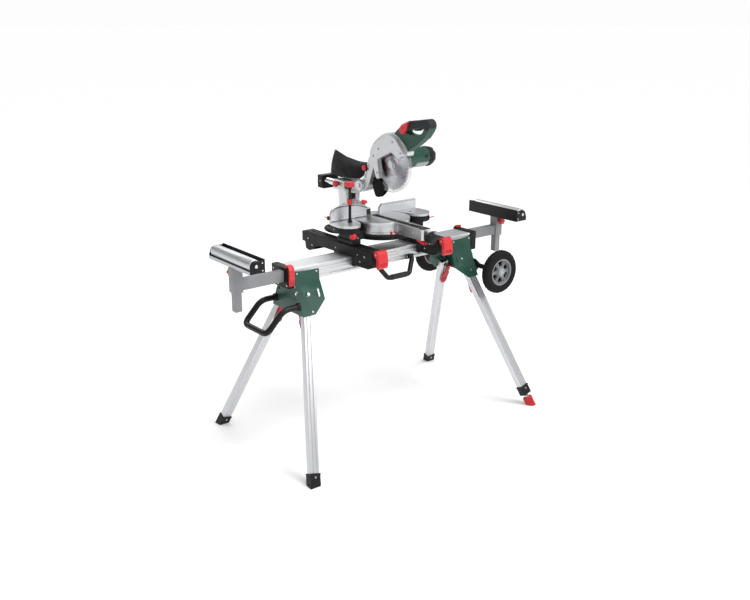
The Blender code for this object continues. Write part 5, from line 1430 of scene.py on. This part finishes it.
def make_head_arm():
    """Upper guard casting with its open window, the link to the pivot and their ribs."""
    rim = [(0.050, -0.040), (0.093, -0.030), (0.114, -0.006), (0.128, 0.014), (0.131, 0.032),
           (0.124, 0.052), (0.114, 0.069), (0.098, 0.086), (0.078, 0.101), (0.055, 0.1155), (0.030, 0.1270),
           (0.010, 0.1320), (-0.010, 0.1338), (-0.030, 0.1322), (-0.050, 0.1265), (-0.072, 0.1152),
           (-0.092, 0.100), (-0.108, 0.0835), (-0.120, 0.066), (-0.118, 0.054), (-0.112, 0.048),
           (-0.060, 0.030)]
    guard = prism(from_arbor(rim), "X", SAW_X - 0.017, SAW_X + 0.032)
    face = [(0.046, -0.062), (0.056, -0.0655), (0.066, -0.064), (0.088, -0.016), (0.108, 0.034),
            (0.104, 0.048), (0.084, 0.076), (0.040, 0.100), (-0.010, 0.126), (-0.035, 0.121),
            (-0.060, 0.112), (-0.086, 0.086), (-0.108, 0.058), (-0.100, 0.046), (-0.080, 0.036),
            (-0.055, 0.047), (-0.030, 0.058), (0.060, 0.016)]
    cheek = prism(from_arbor(face), "X", SAW_X - 0.034, SAW_X - 0.015)
    link = [(0.070, 0.030), (0.118, 0.020), (0.136, -0.020), (0.150, -0.060), (0.157, -0.074),
            (0.166, -0.084), (0.190, -0.094), (0.196, -0.104), (0.194, -0.118), (0.186, -0.128),
            (0.176, -0.132), (0.162, -0.1335), (0.150, -0.130), (0.138, -0.122), (0.128, -0.110),
            (0.115, -0.086), (0.104, -0.060)]
    arm = prism(from_arbor(link), "X", SAW_X - 0.032, SAW_X + 0.032)
    inside = disc("X", ARBOR, 0.1205, SAW_X - 0.0125, SAW_X + 0.0125, 96)
    window = prism(from_arbor([(-0.084, 0.034), (-0.030, 0.058), (0.060, 0.016), (0.045, -0.045),
                               (0.020, -0.12), (-0.10, -0.10), (-0.14, 0.02)]), "X", SAW_X - 0.05,
                   SAW_X - 0.002)
    bore = rod((SAW_X - 0.06, *PIVOT), (SAW_X + 0.06, *PIVOT), 0.0075, 32)
    pockets = []
    for side in (-1, 1):
        low, high = sorted((SAW_X + side * 0.0285, SAW_X + side * 0.05))
        for outline in ([(0.112, -0.010), (0.124, -0.014), (0.134, -0.036), (0.122, -0.040)],
                        [(0.124, -0.046), (0.137, -0.044), (0.148, -0.070), (0.140, -0.078)],
                        [(0.144, -0.084), (0.152, -0.078), (0.158, -0.090), (0.152, -0.098)]):
            pockets.append(("DIFFERENCE", prism(from_arbor(outline), "X", low, high)))
    trim = box(SAW_X + 0.0165, SAW_X + 0.05, -0.30, -0.118, 1.10, 1.275)
    shell = combined(guard, [("UNION", cheek), ("UNION", arm), ("DIFFERENCE", inside),
                             ("DIFFERENCE", window), ("DIFFERENCE", bore), ("DIFFERENCE", trim)] + pockets)
    piece("head_arm.skin", shell, "head", "cast", 0.0026, 4, edge_angle=28, replaces=("head_arm",))
    make_guard_details(rim)
    make_chip_guide()


def make_guard_details(rim):
    band = from_arbor(rim[2:20])
    inner = [(ARBOR[0] + (y - ARBOR[0]) * 0.955, ARBOR[1] + (z - ARBOR[1]) * 0.955) for y, z in band]
    ridge = prism(band + list(reversed(inner)), "X", SAW_X - 0.0186, SAW_X - 0.0165)
    piece("guard_ridge", ridge, "head", "machined", 0.0008, 2)
    screws = []
    for y, z in ((-0.092, 0.060), (-0.040, 0.100), (0.052, 0.062), (0.086, 0.028), (0.060, -0.040)):
        screws.append(screw_head((SAW_X - 0.0340, ARBOR[0] + y, ARBOR[1] + z), (-1, 0, 0), 0.0040, 0.0020,
                                 "hex"))
    for y, z in ((0.100, -0.024), (0.112, 0.030), (0.020, 0.120), (-0.104, 0.074)):
        screws.append(screw_head((SAW_X + 0.0320, ARBOR[0] + y, ARBOR[1] + z), (1, 0, 0), 0.0036, 0.0018,
                                 "hex"))
    piece("guard_screws", joined(screws), "head", "cast_dark")
    gear = stacked("X", (MOTOR[0] + 0.006, MOTOR[1] - 0.008), [(SAW_X + 0.0315, 0.058),
                                                               (SAW_X + 0.036, 0.057),
                                                               (SAW_X + 0.0395, 0.052),
                                                               (SAW_X + 0.0400, 0.046)], 64)
    piece("gear_case", gear, "head", "black")
    bolts = []
    for step in range(4):
        turn = radians(45 + 90 * step)
        spot = (SAW_X + 0.0372, MOTOR[0] + 0.006 + 0.0505 * cos(turn),
                MOTOR[1] - 0.008 + 0.0505 * sin(turn))
        bolts.append(screw_head(spot, (1, 0, 0), 0.0040, 0.0030, "hex"))
    piece("gear_case_bolts", joined(bolts), "head", "zinc")
    seat = prism(smooth_outline([(0.060, 1.128), (0.082, 1.126), (0.088, 1.140), (0.080, 1.154),
                                 (0.062, 1.152)], 4), "X", SAW_X - 0.0350, SAW_X - 0.0300)
    piece("head_lock_seat", seat, "head", "black", 0.0010, 2)
    button = prism(smooth_outline([(0.063, 1.131), (0.079, 1.129), (0.084, 1.140), (0.078, 1.150),
                                   (0.065, 1.149)], 4), "X", SAW_X - 0.0440, SAW_X - 0.0348)
    piece("head_lock_button", button, "head", "red", 0.0026, 4)
    cuff = stacked("Y", (SAW_X - 0.002, 1.139), [(0.058, 0.0150), (0.066, 0.0175), (0.086, 0.0185),
                                                 (0.090, 0.0205), (0.094, 0.0205), (0.096, 0.0180)], 48)
    piece("dust_port", cuff, "head", "black")


def make_chip_guide():
    """Rubber chip guide hanging behind the blade, with its lips and folds."""
    levels = [(1.100, 0.008, 0.062, 0.0120), (1.086, -0.020, 0.058, 0.0125), (1.068, -0.034, 0.052, 0.0130),
              (1.052, -0.034, 0.046, 0.0130), (1.038, -0.022, 0.040, 0.0125),
              (1.026, -0.008, 0.034, 0.0115), (1.018, 0.004, 0.028, 0.0100)]
    rings = []
    for z, y_front, y_back, half in levels:
        ring = []
        for x, y in ((-1, 0.10), (-0.8, 0.0), (0.8, 0.0), (1, 0.10), (1, 0.5), (1, 0.90), (0.8, 1.0),
                     (-0.8, 1.0), (-1, 0.90), (-1, 0.5)):
            fold = 0.0010 * sin(z * 700.0) if abs(x) == 1 else 0.0
            ring.append((SAW_X + x * (half + fold), y_front + (y_back - y_front) * y, z))
        rings.append(ring)
    shell = from_rings(rings)
    slot = box(SAW_X - 0.0048, SAW_X + 0.0048, -0.08, 0.020, 0.99, 1.14)
    piece("chip_guide", carved(shell, slot), "head", "rubber", 0.0022, 3)
    clip = box(SAW_X - 0.0150, SAW_X + 0.0150, 0.030, 0.062, 1.0930, 1.1000)
    piece("chip_guide_clip", clip, "head", "black", 0.0014, 2)


def make_blade():
    """Carbide-tipped blade: gullets, expansion slots, flange and arbor bolt."""
    teeth = 48
    outline = []
    for tooth in range(teeth):
        turn = 2 * pi * tooth / teeth
        step = 2 * pi / teeth
        for share, reach in ((0.00, 0.1080), (0.10, 0.1072), (0.42, 0.1040), (0.60, 0.1005), (0.76, 0.0985),
                             (0.90, 0.0992), (0.985, 0.1030)):
            angle = -(turn + share * step)
            outline.append((ARBOR[0] + reach * cos(angle), ARBOR[1] + reach * sin(angle)))
    disk = prism(list(reversed(outline)), "X", SAW_X - 0.0009, SAW_X + 0.0009)
    cuts = []
    for quarter in range(4):
        turn = radians(20 + 90 * quarter)
        spin = Matrix.Translation((SAW_X, *ARBOR)) @ Matrix.Rotation(turn, 4, "X")
        cuts.append(moved(box(-0.01, 0.01, 0.0800, 0.1000, -0.0006, 0.0006), spin))
        cuts.append(moved(disc("X", (0.0795, 0.0), 0.0026, -0.01, 0.01, 20), spin))
        half = Matrix.Translation((SAW_X, *ARBOR)) @ Matrix.Rotation(turn + radians(45), 4, "X")
        cuts.append(moved(disc("X", (0.0560, 0.0), 0.0030, -0.01, 0.01, 20), half))
    piece("blade.skin", carved(disk, *cuts), "blade", "blade", angle=30, replaces=("blade",))
    tips = []
    for tooth in range(teeth):
        turn = -2 * pi * tooth / teeth
        tip = box(-0.0012, 0.0012, 0.1015, 0.1080, -0.0002, 0.0016)
        tips.append(moved(tip, Matrix.Translation((SAW_X, *ARBOR)) @ Matrix.Rotation(turn, 4, "X")))
    piece("blade_tips", joined(tips), "blade", "carbide")
    flange = stacked("X", ARBOR, [(SAW_X - 0.0010, 0.0210), (SAW_X - 0.0038, 0.0205),
                                  (SAW_X - 0.0050, 0.0180), (SAW_X - 0.0058, 0.0130),
                                  (SAW_X - 0.0060, 0.0080)], 64)
    inner = stacked("X", ARBOR, [(SAW_X + 0.0010, 0.0200), (SAW_X + 0.0078, 0.0200)], 48)
    piece("blade_flanges", joined([flange, inner]), "blade", "zinc", 0.0003, 1)
    bolt = hex_nut((SAW_X - 0.0058, *ARBOR), (-1, 0, 0), 0.0076, 0.0052)
    piece("arbor_bolt", bolt, "blade", "zinc", 0.0003, 1)
    marks = []
    for start, end, outer in ((20, 62, 0.0480), (140, 182, 0.0480), (260, 302, 0.0480), (75, 125, 0.0450),
                              (195, 245, 0.0450), (315, 365, 0.0450)):
        marks.append(swept([(outer, SAW_X - 0.00090), (outer, SAW_X - 0.00105),
                            (outer - 0.0022, SAW_X - 0.00105), (outer - 0.0022, SAW_X - 0.00090)], ARBOR,
                           radians(start), radians(end), 14))
    piece("blade_marks", joined(marks), "blade", "deep_red")


def make_lower_guard():
    profile = [(0.078, -0.0110), (0.1165, -0.0110), (0.1180, -0.0095), (0.1180, 0.0095), (0.1165, 0.0110),
               (0.090, 0.0110), (0.090, 0.0090), (0.1150, 0.0090), (0.1150, -0.0090), (0.078, -0.0090)]
    shell = swept([(radius, SAW_X + x) for radius, x in profile], ARBOR, radians(160), radians(300), 56)
    spoke = prism(from_arbor([(0.012, 0.010), (-0.012, 0.010), (-0.082, -0.020), (-0.060, -0.062),
                              (0.008, -0.014)]), "X", SAW_X - 0.0110, SAW_X - 0.0090)
    hub_hole = disc("X", ARBOR, 0.0095, SAW_X - 0.02, SAW_X - 0.0075, 32)
    ring = disc("X", ARBOR, 0.018, SAW_X - 0.0110, SAW_X - 0.0090, 48)
    body = combined(shell, [("UNION", spoke), ("UNION", ring), ("DIFFERENCE", hub_hole)])
    piece("lower_guard.skin", body, "lower_guard", "clear", replaces=("lower_guard",))
    slots = []
    for start in (176, 196, 216, 236, 256, 276):
        slots.append(swept([(0.1120, SAW_X - 0.0114), (0.1120, SAW_X - 0.0108), (0.0980, SAW_X - 0.0108),
                            (0.0980, SAW_X - 0.0114)], ARBOR, radians(start), radians(start + 2.2), 2))
    edge = swept([(0.1183, SAW_X - 0.0112), (0.1183, SAW_X - 0.0092), (0.1160, SAW_X - 0.0092),
                  (0.1160, SAW_X - 0.0112)], ARBOR, radians(160), radians(300), 56)
    piece("lower_guard_ribs", joined(slots + [edge]), "lower_guard", "clear_rim")
    ring = ring_band("X", ARBOR, 0.0150, 0.0100, SAW_X - 0.0122, SAW_X - 0.0109, 48)
    piece("guard_hub_ring", ring, "lower_guard", "zinc")


def make_motor():
    """Ribbed motor barrel with its vents, brush cap and faceted end cap."""
    centre = MOTOR
    start = 0.0373
    barrel = [(start, 0.0440), (0.0860, 0.0440), (0.0880, 0.0425), (0.0905, 0.0425), (0.0925, 0.0412),
              (0.1690, 0.0408)]
    piece("motor_housing.skin", stacked("X", centre, barrel, 96), "head", "green_plastic",
          replaces=("motor_housing",))
    end = [(0.1680, 0.0430), (0.1705, 0.0445), (0.1900, 0.0435), (0.2080, 0.0350), (0.2120, 0.0290)]
    piece("motor_end_cap", stacked("X", centre, end, 8, pi / 8), "head", "black", 0.0018, 3, edge_angle=12)
    ribs, vents, screws = [], [], []
    for step in range(6):
        turn = radians(-10 + 36 * step)
        rib = box(0.096, 0.166, -0.0011, 0.0011, 0.0404, 0.0420)
        ribs.append(moved(rib, Matrix.Translation((0, *centre)) @ Matrix.Rotation(turn - pi / 2, 4, "X")))
    piece("motor_ribs", joined(ribs), "head", "green_plastic", 0.0006, 2)
    for step in range(7):
        x = 0.104 + 0.0080 * step
        vents.append(swept([(0.0416, x), (0.0416, x + 0.0046), (0.0400, x + 0.0046), (0.0400, x)], centre,
                           radians(212), radians(262), 16))
    piece("motor_vents", joined(vents), "head", "hub", 0.0006, 1)
    band = swept([(0.0412, 0.098), (0.0412, 0.166), (0.0398, 0.166), (0.0398, 0.098)], centre, radians(206),
                 radians(268), 24)
    piece("motor_vent_band", band, "head", "grey_light", 0.0004, 1)
    for step in range(8):
        turn = 2 * pi * (step + 0.5) / 8
        slot = box(0.2116, 0.2122, -0.0016, 0.0016, 0.0080, 0.0200)
        vents_turn = Matrix.Translation((0, *centre)) @ Matrix.Rotation(turn, 4, "X")
        screws.append(moved(slot, vents_turn))
    piece("motor_end_slots", joined(screws), "head", "black_gloss", 0.0003, 1)
    heads = []
    for step in range(4):
        turn = radians(45 + 90 * step)
        spot = (0.1985, centre[0] + 0.0370 * cos(turn), centre[1] + 0.0370 * sin(turn))
        heads.append(screw_head(spot, (1, 0.5 * cos(turn), 0.5 * sin(turn)), 0.0036, 0.0024, "cross"))
    piece("motor_screws", joined(heads), "head", "zinc")
    brush = [moved(stacked("Z", (0, 0), [(0.0400, 0.0082), (0.0430, 0.0080), (0.0440, 0.0066)], 32),
                   Matrix.Translation((0.150, *centre)) @ Matrix.Rotation(radians(angle), 4, "X"))
             for angle in (78, -102)]
    piece("motor_brush_caps", joined(brush), "head", "black_gloss")
    seam = ring_band("X", centre, 0.0447, 0.0430, 0.0620, 0.0632, 96)
    piece("motor_seam", seam, "head", "black")


def make_handle():
    """D-handle: green shell below, soft black grip along the top with its screws."""
    outer = [(-0.138, 1.334), (-0.176, 1.356), (-0.232, 1.366), (-0.290, 1.3755), (-0.302, 1.3740),
             (-0.311, 1.3680), (-0.3175, 1.3560), (-0.3165, 1.3420), (-0.308, 1.327), (-0.284, 1.300),
             (-0.256, 1.280), (-0.228, 1.262)]
    seat = [(-0.1175, 0.069), (-0.092, 0.100), (-0.072, 0.1152), (-0.050, 0.127), (-0.028, 0.1325)]
    outer += from_arbor([(1.004 * y, 1.004 * z) for y, z in seat])
    hole = smooth_outline([(-0.1740, 1.3170), (-0.1850, 1.3105), (-0.2050, 1.3080), (-0.2300, 1.3085),
                           (-0.2560, 1.3125), (-0.2720, 1.3205), (-0.2800, 1.3305), (-0.2815, 1.3375),
                           (-0.2740, 1.3405), (-0.2560, 1.3380), (-0.2300, 1.3325), (-0.1900, 1.3260)], 5)
    low, high = HANDLE_X - 0.019, HANDLE_X + 0.019
    pocket = prism([(-0.2080, 1.320), (-0.2535, 1.326), (-0.2555, 1.3465), (-0.2095, 1.3395)], "X",
                   HANDLE_X - 0.0112, HANDLE_X + 0.0112)
    grip_pocket = pocket.copy()
    shell = combined(prism(outer, "X", low, high),
                     [("DIFFERENCE", prism(hole, "X", low - 0.01, high + 0.01)), ("DIFFERENCE", pocket)])
    waist = [(-0.30, 1.24), (-0.118, 1.20), (-0.118, 1.262), (-0.190, 1.286), (-0.285, 1.300)]
    shell = carved(shell, prism(waist, "X", low - 0.01, low + 0.0020),
                   prism(waist, "X", high - 0.0020, high + 0.01))
    piece("main_handle.skin", shell, "head", "green_plastic", 0.0062, 5, edge_angle=35,
          replaces=("main_handle",))
    grip = [(-0.183, 1.3585), (-0.232, 1.3672), (-0.290, 1.3768), (-0.303, 1.3752), (-0.3125, 1.3690),
            (-0.3190, 1.3560), (-0.3180, 1.3450), (-0.3080, 1.3330), (-0.2980, 1.3320), (-0.2890, 1.3380),
            (-0.2790, 1.3415), (-0.2560, 1.3398), (-0.2300, 1.3343), (-0.1930, 1.3285), (-0.1860, 1.3380)]
    pad = prism(smooth_outline(grip, 5), "X", HANDLE_X - 0.0200, HANDLE_X + 0.0200)
    piece("handle_grip", carved(pad, grip_pocket), "head", "grip", 0.0066, 5, edge_angle=40)
    dots = []
    for side in (-1, 1):
        for y, z in ((-0.2060, 1.3535), (-0.2500, 1.3605), (-0.2960, 1.3615)):
            dots.append(screw_head((HANDLE_X + side * 0.0199, y, z), (side, 0, 0), 0.0036, 0.0012, "hex"))
    piece("handle_screws", joined(dots), "head", "black_gloss")
    refined("trigger", "black_gloss", 0.0020, 3)
    button = smooth_outline([(-0.1430, 1.320), (-0.1480, 1.335), (-0.1600, 1.3455), (-0.1800, 1.3540),
                             (-0.1940, 1.3580), (-0.1900, 1.340), (-0.1850, 1.326), (-0.1680, 1.309),
                             (-0.1510, 1.309)], 5)
    face = HANDLE_X - 0.0193
    piece("trigger_lock.skin", prism(button, "X", face - 0.009, face), "trigger_lock", "red", 0.0032, 4,
          replaces=("trigger_lock",))
    ribs = [box(face - 0.0098, face - 0.0080, -0.1760 + 0.006 * step, -0.1742 + 0.006 * step,
                1.322 + 0.001 * step, 1.340) for step in range(4)]
    piece("trigger_lock_ribs", joined(ribs), "trigger_lock", "red", 0.0004, 1)


# --- dust bag -----------------------------------------------------------------------------------
BAG_X = SAW_X - 0.004
BAG_SECTIONS = [(0.086, 1.138, 0.0155, 0.0150), (0.105, 1.131, 0.026, 0.0225), (0.135, 1.121, 0.034, 0.031),
                (0.165, 1.114, 0.038, 0.038), (0.205, 1.1135, 0.0405, 0.0425),
                (0.250, 1.115, 0.0415, 0.0455), (0.290, 1.120, 0.036, 0.0500),
                (0.325, 1.125, 0.026, 0.0530), (0.348, 1.129, 0.008, 0.0555)]


def bag_section(y):
    """Height, half width and half height of the bag's starting shell at y."""
    for one, two in zip(BAG_SECTIONS, BAG_SECTIONS[1:]):
        if y <= two[0]:
            share = (y - one[0]) / (two[0] - one[0])
            return [a + (b - a) * share for a, b in zip(one[1:], two[1:])]
    return list(BAG_SECTIONS[-1][1:])


def bag_lean(y):
    """How far the bag's sections tip back at the bottom, growing towards its rear end."""
    return BACK_LEAN * max(0.0, (y - 0.215) / 0.133)


def bag_shell(count=34, sides=36):
    rings = []
    first, last = BAG_SECTIONS[0][0], BAG_SECTIONS[-1][0]
    for step in range(count):
        y = first + (last - first) * step / (count - 1)
        z, half_x, half_z = bag_section(y)
        lean = bag_lean(y)
        rings.append([(BAG_X + half_x * cos(turn), y - lean * half_z * sin(turn), z + half_z * sin(turn))
                      for turn in (2 * pi * side / sides for side in range(sides))])
    return from_rings(rings)


def pressed(item, pressure, limit, pinned):
    """Cloth swelling of a closed skin, applied to its mesh, with each point's travel capped."""
    rest = [vertex.co.copy() for vertex in item.data.vertices]
    group = item.vertex_groups.new(name="pinned")
    group.add([index for index, spot in enumerate(rest) if pinned(spot)], 1.0, "REPLACE")
    cloth = item.modifiers.new("cloth", "CLOTH")
    settings = cloth.settings
    settings.use_pressure = True
    settings.uniform_pressure_force = pressure
    settings.vertex_group_mass = "pinned"
    settings.effector_weights.gravity = 0.0
    settings.quality = 5
    settings.tension_stiffness = 12.0
    settings.bending_stiffness = 0.6
    scene = bpy.context.scene
    for step in range(1, 19):
        scene.frame_set(step)
    evaluated = item.evaluated_get(bpy.context.evaluated_depsgraph_get())
    reached = [vertex.co.copy() for vertex in evaluated.data.vertices]
    item.modifiers.remove(cloth)
    item.vertex_groups.clear()
    for vertex, start, end in zip(item.data.vertices, rest, reached):
        travel = end - start
        if travel.length > limit:
            travel = travel.normalized() * limit
        vertex.co = start + travel
    scene.frame_set(1)


def make_dust_bag():
    """Sagging cloth bag on the dust port, with seams, a zip strip and a cuff."""
    item = piece("dust_bag.skin", bag_shell(), "head", "fabric", angle=180, replaces=("dust_bag",))
    remesh = item.modifiers.new("remesh", "REMESH")
    remesh.mode = "VOXEL"
    remesh.voxel_size = 0.0045
    evaluated = item.evaluated_get(bpy.context.evaluated_depsgraph_get())
    mesh = bpy.data.meshes.new_from_object(evaluated)
    item.modifiers.remove(remesh)
    item.data = mesh
    pressed(item, 3.0, 0.006,
            lambda spot: spot.y < 0.100 or spot.y + BACK_LEAN * (spot.z - 1.129) > 0.342)
    for vertex in item.data.vertices:
        spot = vertex.co
        along = min(max((spot.y - 0.10) / 0.24, 0.0), 1.0)
        fade = sin(pi * along)
        wrinkle = noise.noise(Vector((spot.x * 30.0, spot.y * 26.0, spot.z * 42.0)))
        gather = 0.0016 * sin(spot.z * 260.0 + 3.0 * noise.noise(spot * 18.0)) * max(0.0, 1.0 - along * 3.5)
        out = Vector((spot.x - BAG_X, 0, 0)).normalized() if abs(spot.x - BAG_X) > 0.004 else Vector()
        vertex.co = spot + out * (0.0030 * wrinkle * fade + gather) + Vector((0, 0, -0.0020 * fade))
    item.data.shade_smooth()
    smooth = item.modifiers.new("subdivision", "SUBSURF")
    smooth.levels = smooth.render_levels = 1
    make_bag_trim()


def bag_edge(top, steps=26, out=0.0012):
    """Points along the bag's upper or lower fold."""
    points = []
    for step in range(steps):
        y = 0.100 + (0.346 - 0.100) * step / (steps - 1)
        z, _, half_z = bag_section(y)
        fade = sin(pi * min(max((y - 0.10) / 0.24, 0.0), 1.0))
        way = 1 if top else -1
        height = z + way * (half_z + out + 0.0030 * fade) - 0.0020 * fade
        points.append(Vector((BAG_X, y - way * bag_lean(y) * half_z, height)))
    return points


def make_bag_trim():
    for name, top in (("upper", True), ("lower", False)):
        piece(f"bag_seam_{name}", bar(bag_edge(top), 0.0017, 12), "head", "webbing")
    back = [Vector((BAG_X, 0.3490 - BACK_LEAN * (z - 1.129), z))
            for z in (1.0750, 1.085, 1.100, 1.115, 1.130, 1.145, 1.160, 1.172, 1.1830)]
    piece("bag_seam_back", bar(back, 0.0020, 12), "head", "webbing")
    z, half_x, half_z = bag_section(0.092)
    cuff = from_rings([[(BAG_X + (half_x + grow) * cos(turn), y, z + (half_z + grow) * sin(turn))
                        for turn in (2 * pi * side / 48 for side in range(48))]
                       for y, grow in ((0.0800, 0.0034), (0.0815, 0.0048), (0.0860, 0.0052),
                                       (0.0900, 0.0050), (0.0950, 0.0052), (0.0985, 0.0040))])
    piece("bag_cuff", cuff, "head", "webbing", angle=60)
    clip = bar([Vector((BAG_X + 0.0215 * cos(turn), 0.0885, z + 0.0210 * sin(turn)))
                for turn in (2 * pi * step / 40 for step in range(41))], 0.0012, 10)
    piece("bag_clip", clip, "head", "zinc")


# --- hold-down clamp ----------------------------------------------------------------------------
def make_clamp():
    x, y = CLAMP
    base = TABLE_Z + 0.0018
    threads = []
    steps = 44
    for index in range(steps):
        height = 0.9500 + (1.0040 - 0.9500) * index / steps
        threads.append((height, 0.0056 if index % 2 else 0.0061))
    post = [(base, 0.0085), (base + 0.0060, 0.0085), (base + 0.0070, 0.0060)] + threads
    post += [(1.0050, 0.0060), (1.0698, 0.0060)]
    piece("work_clamp.skin", stacked("Z", (x, y), post, 32), "work_clamp", "black_metal",
          replaces=("work_clamp",))
    collar = stacked("Z", (x, y), [(1.0075, 0.0100), (1.0085, 0.0112), (1.0275, 0.0112), (1.0285, 0.0100)],
                     48)
    piece("clamp_collar", collar, "work_clamp", "red", 0.0008, 2)

    def along(reach, rise=0.0):
        return (x + reach * cos(CLAMP_TURN), y + reach * sin(CLAMP_TURN), 1.018 + rise)
    arm = rod(along(0.010), along(0.052), 0.0056, 32)
    piece("clamp_arm", arm, "work_clamp", "grey_light", 0.0006, 2)
    plate = fused(rod(along(0.014), along(0.020), 0.0098, 32), rod(along(0.030), along(0.035), 0.0090, 32))
    piece("clamp_arm_rings", plate, "work_clamp", "grey", 0.0010, 2)
    tip = fused(rod(along(0.050), along(0.058), 0.0100, 32), rod(along(0.058), along(0.074), 0.0100, 32,
                                                                 0.0050))
    piece("clamp_tip", tip, "work_clamp", "red", 0.0012, 3)
    cone = stacked("Z", (x, y), [(1.0703, 0.0072), (1.0740, 0.0080), (1.0820, 0.0126), (1.0845, 0.0128)],
                   48)
    piece("clamp_knob_cone", cone, "clamp_knob", "black")
    piece("work_clamp_knob.skin", knob("Z", (x, y), 1.0820, 1.1040, 0.0202, 6, 0.0046), "clamp_knob", "red",
          replaces=("work_clamp_knob",))
    cap = stacked("Z", (x, y), [(1.1030, 0.0080), (1.1048, 0.0078), (1.1052, 0.0060)], 32)
    piece("clamp_knob_cap", cap, "clamp_knob", "deep_red")


def make_saw():
    make_tool_rails()
    make_saw_base()
    make_turntable()
    make_insert()
    make_mitre_controls()
    make_fences()
    make_column()
    make_slide()
    make_head_arm()
    make_blade()
    make_lower_guard()
    make_motor()
    make_handle()
    make_dust_bag()
    make_clamp()


# --- stage, lights and camera -------------------------------------------------------------------
def make_stage():
    floor = prism(circle((0, 0), 90.0, 96), "Z", -0.02, -0.0005)
    mesh = bpy.data.meshes.new("floor")
    floor.to_mesh(mesh)
    floor.free()
    mesh.materials.append(stage_material())
    item = bpy.data.objects.new("floor", mesh)
    bpy.context.scene.collection.objects.link(item)


def make_sky():
    """Soft surround: white along the horizon, darker above it so that metal has something to reflect."""
    world = bpy.data.worlds.new("studio")
    bpy.context.scene.world = world
    world.use_nodes = True
    tree = world.node_tree
    ground = tree.nodes["Background"]
    place = tree.nodes.new("ShaderNodeTexCoord")
    split = tree.nodes.new("ShaderNodeSeparateXYZ")
    stops = tree.nodes.new("ShaderNodeValToRGB")
    span = tree.nodes.new("ShaderNodeMapRange")
    span.inputs["From Min"].default_value = -1.0
    tree.links.new(place.outputs["Generated"], split.inputs[0])
    tree.links.new(split.outputs["Z"], span.inputs["Value"])
    tree.links.new(span.outputs["Result"], stops.inputs["Fac"])
    tree.links.new(stops.outputs["Color"], ground.inputs["Color"])
    levels = ((0.0, 0.55), (0.460, 0.70), (0.486, 0.98), (0.506, 0.98), (0.545, 0.42), (0.72, 0.30),
              (1.0, 0.75))
    while len(stops.color_ramp.elements) < len(levels):
        stops.color_ramp.elements.new(0.5)
    for element, (position, value) in zip(stops.color_ramp.elements, levels):
        element.position = position
        element.color = (value, value, value, 1.0)
    ground.inputs["Strength"].default_value = 1.0


def area_light(name, spot, target, size, power):
    light = bpy.data.lights.new(name, "AREA")
    light.shape = "RECTANGLE"
    light.size, light.size_y = size
    light.energy = power
    item = bpy.data.objects.new(name, light)
    item.location = spot
    item.rotation_euler = (Vector(target) - Vector(spot)).to_track_quat("-Z", "Y").to_euler()
    bpy.context.scene.collection.objects.link(item)


def sun_light(name, direction, strength, spread):
    light = bpy.data.lights.new(name, "SUN")
    light.energy = strength
    light.angle = radians(spread)
    item = bpy.data.objects.new(name, light)
    item.rotation_euler = Vector(direction).to_track_quat("-Z", "Y").to_euler()
    bpy.context.scene.collection.objects.link(item)


def make_lights():
    middle = (0.0, 0.0, 0.8)
    sun_light("overhead", (-0.30, 0.42, -1.0), 1.55, 30)
    area_light("key", (1.3, -3.6, 3.0), middle, (2.4, 2.0), 62)
    area_light("fill", (-3.6, -1.2, 2.2), middle, (2.6, 2.2), 12)
    area_light("rim", (0.8, 3.6, 3.2), middle, (3.2, 1.6), 40)


def make_camera():
    lens = bpy.data.cameras.new("camera")
    lens.sensor_width = 36.0
    lens.lens = 43.74
    camera = bpy.data.objects.new("camera", lens)
    camera.location = (-2.421, -3.0277, 1.8053)
    camera.rotation_euler = (radians(72.09), 0.0, radians(-38.288))
    bpy.context.scene.collection.objects.link(camera)
    bpy.context.scene.camera = camera


make_camera()
make_sky()
make_lights()
make_stage()
make_stand()
make_saw()
bpy.context.scene.view_settings.view_transform = "Standard"
